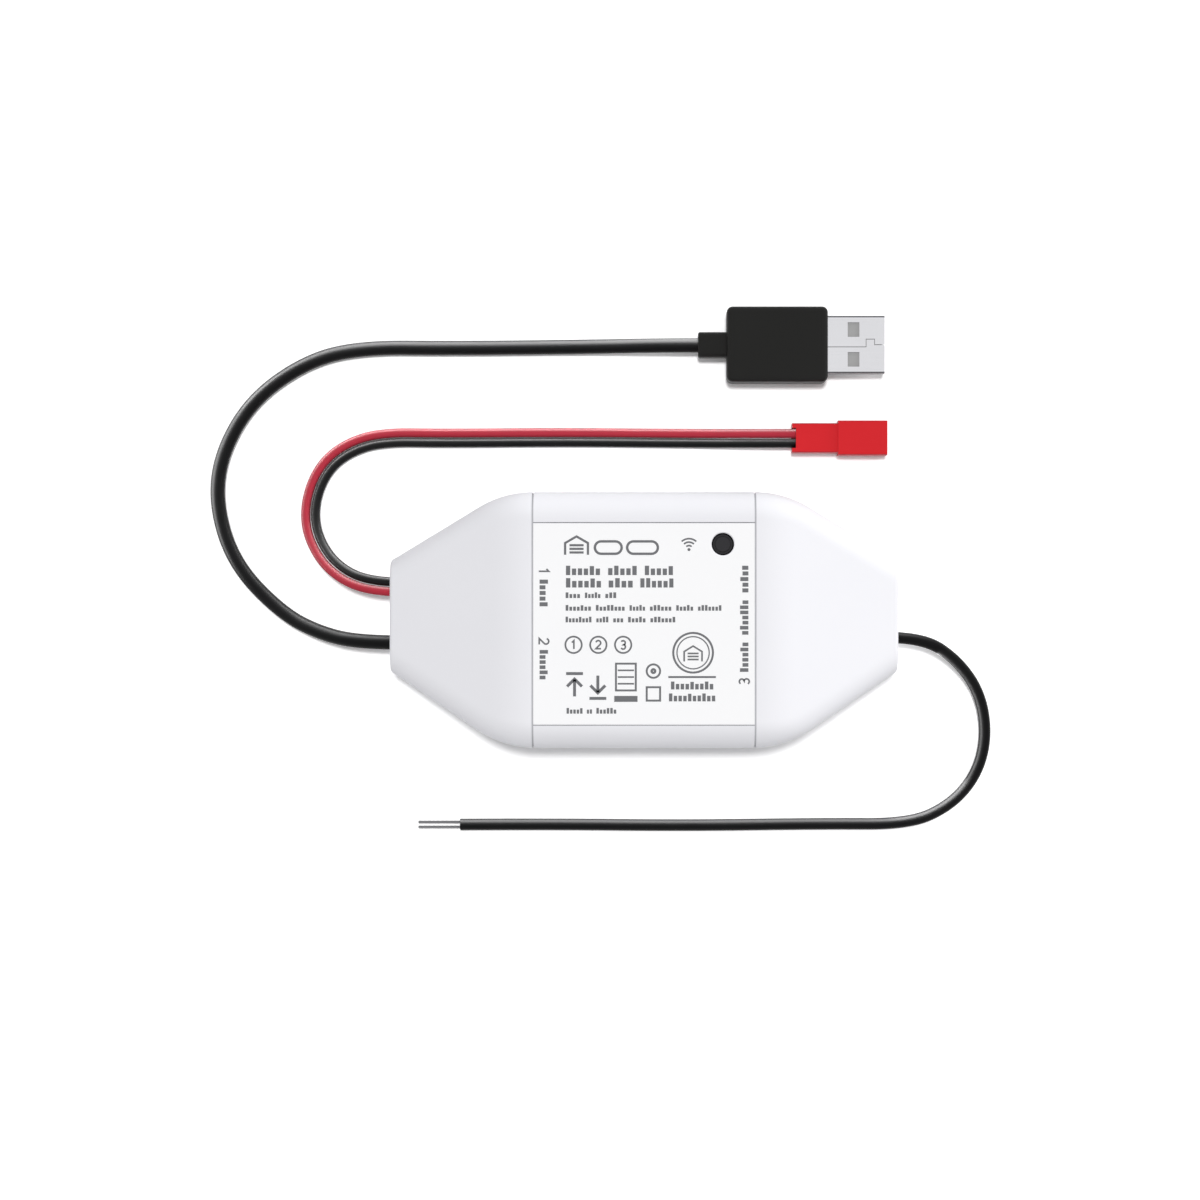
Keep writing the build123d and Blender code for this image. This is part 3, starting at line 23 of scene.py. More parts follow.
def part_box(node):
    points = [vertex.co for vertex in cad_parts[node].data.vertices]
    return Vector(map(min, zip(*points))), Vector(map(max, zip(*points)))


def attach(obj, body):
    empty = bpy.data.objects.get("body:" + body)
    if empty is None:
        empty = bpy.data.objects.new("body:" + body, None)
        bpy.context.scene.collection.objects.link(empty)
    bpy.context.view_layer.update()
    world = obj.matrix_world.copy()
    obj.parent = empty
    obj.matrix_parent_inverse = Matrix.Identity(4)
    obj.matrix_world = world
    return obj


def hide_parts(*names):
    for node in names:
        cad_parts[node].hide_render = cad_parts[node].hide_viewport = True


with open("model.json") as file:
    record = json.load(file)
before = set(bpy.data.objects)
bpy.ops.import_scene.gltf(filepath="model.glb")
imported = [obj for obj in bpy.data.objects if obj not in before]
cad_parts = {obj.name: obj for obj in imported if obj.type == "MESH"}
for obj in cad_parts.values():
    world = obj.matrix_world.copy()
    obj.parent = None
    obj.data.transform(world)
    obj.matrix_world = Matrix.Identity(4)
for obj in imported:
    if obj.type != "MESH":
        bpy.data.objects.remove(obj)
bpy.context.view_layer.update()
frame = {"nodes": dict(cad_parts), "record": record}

LOG = logging.getLogger("controller")
MM = 0.001
WHITE = (1.0, 1.0, 1.0, 1.0)
Colour = tuple[float, float, float, float]
ScreenColour = tuple[int, int, int]
Place = tuple[float, float]
Point = tuple[float, float, float]
Mark = tuple[Place, float, float, float]


def tone(colour: ScreenColour) -> Colour:
    """Turns a colour as it shows on a screen into the linear colour that a shader takes.

    Args:
        colour: its red, green and blue, each from 0 to 255.

    Returns:
        The linear colour with full alpha, by the sRGB formula.
    """
    shares = [channel / 255 for channel in colour]
    linear = [s / 12.92 if s <= 0.04045 else ((s + 0.055) / 1.055) ** 2.4 for s in shares]
    return (linear[0], linear[1], linear[2], 1.0)


def arc_points(middle: Place, radius: float, start: float, end: float, steps: int) -> list[Place]:
    """Works out points on an arc.

    Args:
        middle: the middle of the arc.
        radius: its radius.
        start: the angle at which it starts, in degrees.
        end: the angle at which it ends, in degrees.
        steps: the runs that it is made of.

    Returns:
        The points, one more than the runs.
    """
    x, y = middle
    angles = [math.radians(start + (end - start) * step / steps) for step in range(steps + 1)]
    return [(x + radius * math.cos(angle), y + radius * math.sin(angle)) for angle in angles]


def add_bar(shape: BMesh, sections: list[list[Point]], closed: bool = False) -> None:
    """Adds a bar with four long edges to a shape.

    Args:
        shape: what the bar is added to.
        sections: the four corners of each section along the bar.
        closed: whether the last section joins the first. If not, both ends get a face.
    """
    rows = [[shape.verts.new(corner) for corner in section] for section in sections]
    pairs = list(zip(rows, rows[1:]))
    if closed:
        pairs.append((rows[-1], rows[0]))
    for before, after in pairs:
        for step in range(4):
            following = (step + 1) % 4
            shape.faces.new((before[step], before[following], after[following], after[step]))
    if not closed:
        shape.faces.new(rows[0])
        shape.faces.new(rows[-1][::-1])


def plain_mesh(shape: BMesh, name: str) -> Mesh:
    """Turns a finished shape into a mesh whose faces point outwards."""
    bmesh.ops.recalc_face_normals(shape, faces=shape.faces)
    mesh = bpy.data.meshes.new(name)
    shape.to_mesh(mesh)
    shape.free()
    return mesh


def new_object(name: str, data: bpy.types.ID) -> Object:
    """Puts a new object with its data into the scene."""
    made = bpy.data.objects.new(name, data)
    bpy.context.scene.collection.objects.link(made)
    return made


class TreeBuilder:
    """Adds nodes to a shader tree or a geometry tree and joins them."""

    MIX_FIRST = 6
    MIX_SECOND = 7
    MIX_RESULT = 2

    def __init__(self, tree: NodeTree) -> None:
        """Keeps the tree that the nodes go into."""
        self.tree = tree

    def add(self, kind: str, **settings: object) -> Node:
        """Adds one node.

        Args:
            kind: Blender's name of the node type.
            settings: properties of the node, by name.

        Returns:
            The new node.
        """
        node = self.tree.nodes.new(kind)
        for name, value in settings.items():
            setattr(node, name, value)
        return node

    def feed(self, target: Socket, value: object) -> None:
        """Joins an output socket to an input socket, or sets the input to a plain value."""
        if isinstance(value, Socket):
            self.tree.links.new(value, target)
        else:
            target.default_value = value

    def fill(self, node: Node, **values: object) -> Node:
        """Feeds the inputs of a node.

        Args:
            node: the node.
            values: a value or an output socket for each input, by name with _ for a space.

        Returns:
            The same node.
        """
        for name, value in values.items():
            self.feed(node.inputs[name.replace("_", " ")], value)
        return node

    def join(self, node: Node, *values: object) -> Node:
        """Feeds the inputs of a node in their order, as far as values are given."""
        for target, value in zip(node.inputs, values):
            self.feed(target, value)
        return node

    def make(self, kind: str, **values: object) -> Node:
        """Adds a node that needs no settings and feeds its inputs, as fill does."""
        return self.fill(self.add(kind), **values)

    def math(self, operation: str, first: object, second: object) -> Socket:
        """Adds a math node of two values and returns its result."""
        return self.join(self.add("ShaderNodeMath", operation=operation), first, second).outputs[0]

    def vector(self, **parts: object) -> Socket:
        """Puts a vector together from its X, Y and Z, as far as they aren't 0."""
        return self.make("ShaderNodeCombineXYZ", **parts).outputs["Vector"]

    def mix(self, share: object, first: object, second: object) -> Socket:
        """Mixes two colours by a share and returns the result."""
        node = self.add("ShaderNodeMix", data_type="RGBA")
        self.fill(node, Factor=share)
        self.feed(node.inputs[self.MIX_FIRST], first)
        self.feed(node.inputs[self.MIX_SECOND], second)
        return node.outputs[self.MIX_RESULT]


class GroupBuilder(TreeBuilder):
    """Builds a node group. Its input sockets are in given, their identifiers in inputs."""

    def __init__(
        self, name: str, kind: str, inputs: dict[str, str], outputs: dict[str, str]
    ) -> None:
        """Starts the group with its sockets.

        Args:
            name: the group's name.
            kind: Shader or Geometry.
            inputs: what each input holds, by name.
            outputs: what each output holds, by name.
        """
        super().__init__(bpy.data.node_groups.new(name, f"{kind}NodeTree"))
        self.inputs: dict[str, str] = {}
        for way, sockets in (("INPUT", inputs), ("OUTPUT", outputs)):
            for title, holds in sockets.items():
                socket = self.tree.interface.new_socket(
                    name=title, in_out=way, socket_type=f"NodeSocket{holds}"
                )
                if way == "INPUT":
                    self.inputs[title] = socket.identifier
        self.given = self.add("NodeGroupInput").outputs

    def finish(self, instances: Socket, smooth: bool) -> None:
        """Ends a geometry tree with real geometry in the given material.

        Args:
            instances: what the tree has made.
            smooth: whether its faces are shaded smooth.
        """
        last = self.make("GeometryNodeRealizeInstances", Geometry=instances)
        for kind, values in (
            ("GeometryNodeSetShadeSmooth", {"Shade_Smooth": smooth}),
            ("GeometryNodeSetMaterial", {"Material": self.given["Material"]}),
            ("NodeGroupOutput", {}),
        ):
            last = self.make(kind, Geometry=last.outputs["Geometry"], **values)


class Pattern(Enum):
    """The surface patterns that the finishes share."""

    MOULDED = "moulded grain"
    BRUSHED = "brushed grain"
    JACKET = "jacket sheen"
    BOARD = "board tracks"


class PatternShelf:
    """Builds each surface pattern once, as a shader node group, and hands it out."""

    INPUTS = {
        "Vector": "Vector", "Scale": "Float", "Colour": "Color", "Shade": "Color",
        "Amount": "Float", "Roughness": "Float", "Spread": "Float",
    }
    OUTPUTS = {"Colour": "Color", "Roughness": "Float", "Height": "Float"}
    BROAD_SHARE = 0.02
    STREAK_SHARE = 0.02
    SCUFF_SHARE = 0.16
    TRACK_WIDTH = 0.035
    EDGE_SHADE_FROM = 0.985
    EDGE_SHADE_FULL = 0.86

    def __init__(self) -> None:
        """Starts with an empty shelf."""
        self.groups: dict[Pattern, NodeTree] = {}
        self.painted_edge_shading: NodeTree | None = None

    def painted_edge_shade(self) -> NodeTree:
        """Returns the group that paints shade on rounded edges and on faces that look sideways.

        Returns:
            The node group, which takes the object's own normal.
        """
        if self.painted_edge_shading is None:
            tree = GroupBuilder(
                "edge tone", "Shader",
                {"Normal": "Vector", "Colour": "Color", "Edge Colour": "Color"},
                {"Colour": "Color"},
            )
            # Painted shade: the more a face looks sideways, the more of the darker edge tone it
            # gets.
            apart = tree.make("ShaderNodeSeparateXYZ", Vector=tree.given["Normal"])
            edge_shade_mask = tree.fill(
                tree.add("ShaderNodeMapRange", clamp=True),
                Value=tree.math("ABSOLUTE", apart.outputs["Z"], 0.0),
                From_Min=self.EDGE_SHADE_FULL, From_Max=self.EDGE_SHADE_FROM, To_Min=1.0, To_Max=0.0,
            )
            tones = tree.given["Colour"], tree.given["Edge Colour"]
            tree.make("NodeGroupOutput", Colour=tree.mix(edge_shade_mask.outputs["Result"], *tones))
            self.painted_edge_shading = tree.tree
        return self.painted_edge_shading

    def get(self, pattern: Pattern) -> NodeTree:
        """Returns the node group of a pattern, and builds it when it is first asked for.

        Args:
            pattern: which pattern. Each gives a mask from 0 to 1, which the colour and the
                roughness follow, and a height, which the relief follows.

        Returns:
            The node group.
        """
        if pattern not in self.groups:
            makers = {
                Pattern.MOULDED: self._moulded,
                Pattern.BRUSHED: self._brushed,
                Pattern.JACKET: self._jacket,
                Pattern.BOARD: self._board,
            }
            tree = GroupBuilder(pattern.value, "Shader", self.INPUTS, self.OUTPUTS)
            given = tree.given
            mask, height = makers[pattern](tree)
            share = tree.math("MULTIPLY", mask, given["Amount"])
            swing = tree.math("MULTIPLY", tree.math("SUBTRACT", mask, 0.5), given["Spread"])
            tree.make(
                "NodeGroupOutput", Colour=tree.mix(share, given["Colour"], given["Shade"]),
                Roughness=tree.math("ADD", given["Roughness"], swing), Height=height,
            )
            self.groups[pattern] = tree.tree
        return self.groups[pattern]

    def _noise(
        self, tree: GroupBuilder, detail: float, share: float = 1.0, stretch: float = 1.0
    ) -> Socket:
        """Adds a noise texture.

        Args:
            tree: the pattern's group.
            detail: how many finer layers the noise has.
            share: its scale, as a share of the pattern's.
            stretch: what shortens the places along X, which draws the noise out.

        Returns:
            The noise's value.
        """
        drawn = tree.add("ShaderNodeVectorMath", operation="MULTIPLY")
        tree.join(drawn, tree.given["Vector"], (stretch, 1.0, 1.0))
        scale = tree.math("MULTIPLY", tree.given["Scale"], share)
        noise = tree.make(
            "ShaderNodeTexNoise", Vector=drawn.outputs[0], Scale=scale, Detail=detail
        )
        return noise.outputs["Fac"]

    def _mean(self, tree: GroupBuilder, first: Socket, second: Socket) -> Socket:
        """Returns the mean of two values."""
        return tree.math("MULTIPLY", tree.math("ADD", first, second), 0.5)

    def _moulded(self, tree: GroupBuilder) -> tuple[Socket, Socket]:
        """Fine spark grain over broad, faint clouds, as on moulded plastic."""
        fine = self._noise(tree, 2.0)
        return self._noise(tree, 3.0, self.BROAD_SHARE), fine

    def _brushed(self, tree: GroupBuilder) -> tuple[Socket, Socket]:
        """Fine lines along X with faint clouds, as on rolled sheet metal."""
        lines = self._noise(tree, 2.0, stretch=self.STREAK_SHARE)
        return self._mean(tree, lines, self._noise(tree, 3.0, self.BROAD_SHARE)), lines

    def _jacket(self, tree: GroupBuilder) -> tuple[Socket, Socket]:
        """Slow waves and small scuffs, as on an extruded jacket."""
        waves = self._noise(tree, 1.0, self.SCUFF_SHARE)
        return self._mean(tree, waves, self._noise(tree, 4.0)), waves

    def _board(self, tree: GroupBuilder) -> tuple[Socket, Socket]:
        """Copper tracks under solder mask, as lines of a brick pattern over clouds."""
        tracks = tree.fill(
            tree.add("ShaderNodeTexBrick", offset=0.37, squash=0.6, squash_frequency=3),
            Vector=tree.given["Vector"], Scale=tree.given["Scale"], Mortar_Size=self.TRACK_WIDTH,
        ).outputs["Fac"]
        return tree.math("MULTIPLY", tracks, self._noise(tree, 3.0)), tracks


@dataclass(frozen=True)
class Finish:
    """A surface finish: its two tones, its gloss and its relief.

    Attributes:
        slot: the material slot of the record that it stands for.
        colour: the main tone.
        shade: the tone that the pattern mixes in.
        roughness: the mean roughness.
        spread: how far the roughness swings with the pattern.
        pattern: the surface pattern.
        scale: the pattern's steps for each metre.
        relief: how deep the pattern's relief is, in metres.
        amount: how much of the second tone the pattern mixes in.
        metallic: 1 on bare metal, otherwise 0.
        specular: the level of plain reflection.
        coat: the weight of a clear coat.
        clear: the weight of light that goes through.
        edge: where set, painted shade: a darker tone on rounded edges and sideways faces.
    """

    slot: str
    colour: ScreenColour
    shade: ScreenColour
    roughness: float
    spread: float = 0.1
    pattern: Pattern = Pattern.MOULDED
    scale: float = 3000.0
    relief: float = 0.00001
    amount: float = 0.6
    metallic: float = 0.0
    specular: float = 0.5
    coat: float = 0.0
    clear: float = 0.0
    edge: ScreenColour | None = None

    def build(self, shelf: PatternShelf) -> Material:
        """Builds the material.

        Args:
            shelf: where the shared patterns come from.

        Returns:
            The material, named after its slot.
        """
        material = bpy.data.materials.new(self.slot)
        material.use_nodes = True
        tree = TreeBuilder(material.node_tree)
        shader = material.node_tree.nodes["Principled BSDF"]
        place = tree.add("ShaderNodeTexCoord")
        pattern = tree.add("ShaderNodeGroup", node_tree=shelf.get(self.pattern))
        tree.fill(
            pattern, Vector=place.outputs["Object"], Scale=self.scale, Colour=tone(self.colour),
            Shade=tone(self.shade), Amount=self.amount, Roughness=self.roughness,
            Spread=self.spread,
        )
        colour = pattern.outputs["Colour"]
        # Painted shade: rounded edges and faces that look sideways darken towards the edge tone.
        if self.edge:
            painted_edge_shading = tree.fill(
                tree.add("ShaderNodeGroup", node_tree=shelf.painted_edge_shade()),
                Normal=place.outputs["Normal"], Colour=colour, Edge_Colour=tone(self.edge),
            )
            colour = painted_edge_shading.outputs["Colour"]
        bump = tree.make(
            "ShaderNodeBump", Strength=1.0, Distance=self.relief, Height=pattern.outputs["Height"]
        )
        tree.fill(
            shader, Base_Color=colour, Roughness=pattern.outputs["Roughness"],
            Normal=bump.outputs["Normal"], Metallic=self.metallic, Specular_IOR_Level=self.specular,
            Coat_Weight=self.coat, Transmission_Weight=self.clear,
        )
        return material


METAL = {"pattern": Pattern.BRUSHED, "metallic": 1.0}
JACKET = {"pattern": Pattern.JACKET, "scale": 900.0}
TRACKS = {"pattern": Pattern.BOARD, "amount": 0.9, "coat": 0.2}

PRINT_GREY = Finish("print_grey", (112, 113, 116), (98, 99, 102), 0.55, relief=0.000004)
# Painted shade: the grey of the strips in the case's seams stands in for the shade inside the gaps.
SEAM_SHADE_GREY = Finish("seam_shade_grey", (190, 190, 194), (182, 182, 186), 0.6, relief=0.000004)
JACKET_BLACK = Finish("jacket_black", (6, 6, 7), (12, 12, 13), 0.42, 0.12, specular=0.1, **JACKET)
WIRE_RED = Finish(
    "wire_red", (184, 52, 68), (172, 45, 60), 0.42, relief=0.000008, specular=0.13, **JACKET
)
WIRE_BLACK = Finish(
    "wire_black", (8, 8, 9), (14, 14, 15), 0.4, relief=0.000008, specular=0.16, **JACKET
)
CONDUCTOR_TIN = Finish(
    "conductor_tin", (150, 150, 152), (118, 118, 122), 0.3, scale=7000.0, **METAL
)
FINISHES = (
    JACKET_BLACK,
    WIRE_RED,
    WIRE_BLACK,
    CONDUCTOR_TIN,
    Finish("case_white", (240, 240, 244), (235, 235, 240), 0.46, scale=2600.0, specular=0.3),
    Finish("label_white", (252, 252, 253), (249, 249, 251), 0.5, relief=0.000004),
    # Painted shade: the darker edge tone draws a dark ring round the button's disc, where its bore
    # is in shade.
    Finish("button_black", (40, 39, 42), (32, 32, 35), 0.4, specular=0.28, edge=(8, 8, 9)),
    Finish("screw_steel", (188, 189, 190), (158, 159, 162), 0.32, scale=5000.0, **METAL),
    Finish("plug_black", (25, 25, 24), (20, 20, 19), 0.5, scale=2200.0, specular=0.18),
    # Painted shade: the darker edge tone draws dark lines along the shell's sides and rounded
    # edges, in place of their shade and dark reflection.
    Finish(
        "plug_steel", (226, 226, 229), (206, 206, 210), 0.24, 0.12, scale=6000.0,
        relief=0.000003, edge=(100, 101, 104), **METAL,
    ),
    Finish("insulator_white", (168, 168, 168), (150, 150, 150), 0.5),
    # Painted shade: the darker edge tone darkens the housing's rounded edges and sides.
    Finish(
        "connector_red", (212, 38, 45), (196, 30, 37), 0.42, 0.12, scale=2400.0,
        specular=0.22, edge=(170, 34, 44),
    ),
    Finish(
        "board_green", (28, 92, 54), (64, 132, 84), 0.34, scale=180.0, relief=0.00003, **TRACKS
    ),
    Finish(
        "module_black", (24, 30, 44), (52, 62, 84), 0.36, scale=420.0, relief=0.00002, **TRACKS
    ),
    Finish("shield_steel", (206, 206, 208), (184, 184, 188), 0.3, scale=5200.0, **METAL),
    Finish("antenna_gold", (226, 186, 104), (204, 160, 82), 0.28, scale=6000.0, **METAL),
    Finish("relay_blue", (34, 78, 158), (28, 66, 140), 0.3, scale=2400.0),
    Finish("relay_grey", (72, 72, 76), (60, 60, 64), 0.6, scale=1800.0),
    Finish("tinned_metal", (204, 204, 206), (176, 176, 180), 0.26, scale=5200.0, **METAL),
    Finish(
        "capacitor_sleeve", (30, 32, 46), (42, 44, 60), 0.3, pattern=Pattern.JACKET,
        scale=1200.0, relief=0.00002,
    ),
    Finish("chip_black", (34, 34, 35), (44, 44, 45), 0.62, scale=4200.0),
    Finish("chip_tan", (164, 132, 96), (146, 114, 80), 0.55, scale=4200.0),
    Finish("led_white", (242, 236, 208), (228, 216, 168), 0.24, scale=2600.0),
    Finish(
        "clear_rod", (242, 247, 247), (234, 242, 242), 0.08, 0.04, scale=800.0,
        relief=0.000002, clear=1.0,
    ),
    Finish("switch_black", (36, 36, 37), (46, 46, 47), 0.5, scale=3400.0),
    Finish("header_cream", (232, 226, 206), (220, 212, 188), 0.46),
    Finish("collar_black", (34, 34, 34), (42, 42, 42), 0.62, scale=1800.0),
)


class Workshop:
    """Builds materials once and puts pieces into the scene."""

    def __init__(self) -> None:
        """Starts with no materials built."""
        self.shelf = PatternShelf()
        self.materials: dict[Finish, Material] = {}

    def material(self, finish: Finish) -> Material:
        """Returns the material of a finish, and builds it when it is first asked for."""
        if finish not in self.materials:
            self.materials[finish] = finish.build(self.shelf)
        return self.materials[finish]

    def dress(self, piece: Object, finish: Finish) -> Object:
        """Gives a whole piece one finish."""
        piece.data.materials.clear()
        piece.data.materials.append(self.material(finish))
        return piece

    def place(self, name: str, data: bpy.types.ID, finish: Finish, body: str) -> Object:
        """Puts a new piece into the scene.

        Args:
            name: the piece's name.
            data: its mesh or curve, with its place in it.
            finish: what it is made of.
            body: the body that it rides on.

        Returns:
            The new object.
        """
        piece = new_object(name, data)
        self.dress(piece, finish)
        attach(piece, body)
        LOG.info("%s made", name)
        return piece

    def grow(self, start: Mesh, group: GroupBuilder, **values: object) -> Mesh:
        """Runs a geometry tree on a mesh and keeps the plain mesh that it makes.

        Args:
            start: the mesh that goes in.
            group: the tree.
            values: a value for each of its inputs, by name with _ for a space.

        Returns:
            The plain mesh.
        """
        carrier = new_object(start.name, start)
        modifier = carrier.modifiers.new(group.tree.name, "NODES")
        modifier.node_group = group.tree
        for name, value in values.items():
            modifier[group.inputs[name.replace("_", " ")]] = value
        bpy.context.view_layer.update()
        graph = bpy.context.evaluated_depsgraph_get()
        mesh = bpy.data.meshes.new_from_object(carrier.evaluated_get(graph), depsgraph=graph)
        bpy.data.objects.remove(carrier)
        return mesh


@dataclass
class Housing:
    """The case, its button and everything inside: nodes of the frame that only get finishes.

    Attributes:
        seam_width: how wide the gap between two shells of the upper case is.
        seam_slack: what a strip in that gap leaves free at each side.
        seam_depth: how far under the surface a strip starts.
        seam_thickness: how thick a strip is.
        edge_radius: the radius of the case's long upper edges.
        edge_steps: the runs that a strip's bend is made of.
    """

    seam_width: float = 0.00035
    seam_slack: float = 0.00001
    seam_depth: float = 0.0003
    seam_thickness: float = 0.0004
    edge_radius: float = 0.0052
    edge_steps: int = 12

    def dress(self, shop: Workshop) -> None:
        """Gives every node of the frame the finish of its slot in the record.

        Args:
            shop: where the materials come from.
        """
        finishes = {finish.slot: finish for finish in FINISHES}
        for part in frame["record"]["subparts"]:
            shop.dress(frame["nodes"][part["node"]], finishes[part["material_slot"]])
        # Grey strips of painted shade in the two seams.
        shop.place("seam_shade_strips", self._seam_shade_strips(), SEAM_SHADE_GREY, "case")

    def _seam_shade_strips(self) -> Mesh:
        """Makes thin grey strips of painted shade in the two seams, just under the surface.

        Returns:
            One mesh with both strips.
        """
        low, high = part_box("centre_cover")
        outer = self._section(low, high, self.seam_depth)
        inner = self._section(low, high, self.seam_depth + self.seam_thickness)
        shape = bmesh.new()
        for start in (low.x - self.seam_width + self.seam_slack, high.x + self.seam_slack):
            end = start + self.seam_width - 2 * self.seam_slack
            add_bar(shape, [
                [(x, *spot) for x, spot in ((start, a), (end, a), (end, b), (start, b))]
                for a, b in zip(outer, inner)
            ])
        return plain_mesh(shape, "seam shade strips")

    def _section(self, low: Vector, high: Vector, inset: float) -> list[Place]:
        """Works out the case's section from one side over the top to the other.

        Args:
            low: the lower corner of the centre cover's box.
            high: its upper corner.
            inset: how far inside the surface the section lies.

        Returns:
            Its points, as places along Y and Z.
        """
        bend = self.edge_radius - inset
        level = high.z - self.edge_radius
        points = [(high.y - inset, low.z + inset)]
        for side, start in ((1, 0), (-1, 90)):
            middle = (side * (high.y - self.edge_radius), level)
            points += arc_points(middle, bend, start, start + 90, self.edge_steps)
        return points + [(low.y + inset, low.z + inset)]


@dataclass
class Line:
    """A printed row: groups of plain blocks where the photograph has a line of print.

    Attributes:
        start: where the row starts, in millimetres from the middle of the case.
        height: how tall the tallest blocks are, in millimetres.
        words: the length of each group, in millimetres.
        block: how long a block is with its gap, as a share of the height.
        gap: the gap between groups, in millimetres.
        turn: which way the row runs, in degrees from +X.
    """

    start: Place
    height: float
    words: tuple[float, ...]
    block: float = 0.62
    gap: float = 0.8
    turn: float = 0.0

    RHYTHM = (1.0, 0.7, 0.72, 0.7, 0.96, 0.7, 0.74, 1.0, 0.7, 0.72, 0.98)
    FILLED = 0.72

    def bars(self) -> list[tuple[Point, float, float, float]]:
        """Works out the blocks.

        Returns:
            The middle, length, thickness and turn of each block, in metres and radians.
        """
        angle = math.radians(self.turn)
        along = Vector((math.cos(angle), math.sin(angle)))
        across = Vector((-along.y, along.x))
        found = []
        done = 0.0
        for length in self.words:
            count = max(1, round(length / (self.block * self.height)))
            pitch = length / count
            for _ in range(count):
                tall = self.height * self.RHYTHM[len(found) % len(self.RHYTHM)]
                drop = (tall - self.height) / 2
                middle = (Vector(self.start) + along * (done + pitch / 2) + across * drop) * MM
                size = pitch * self.FILLED * MM
                found.append(((middle.x, middle.y, 0.0), size, tall * MM, angle))
                done += pitch
            done += self.gap
        return found


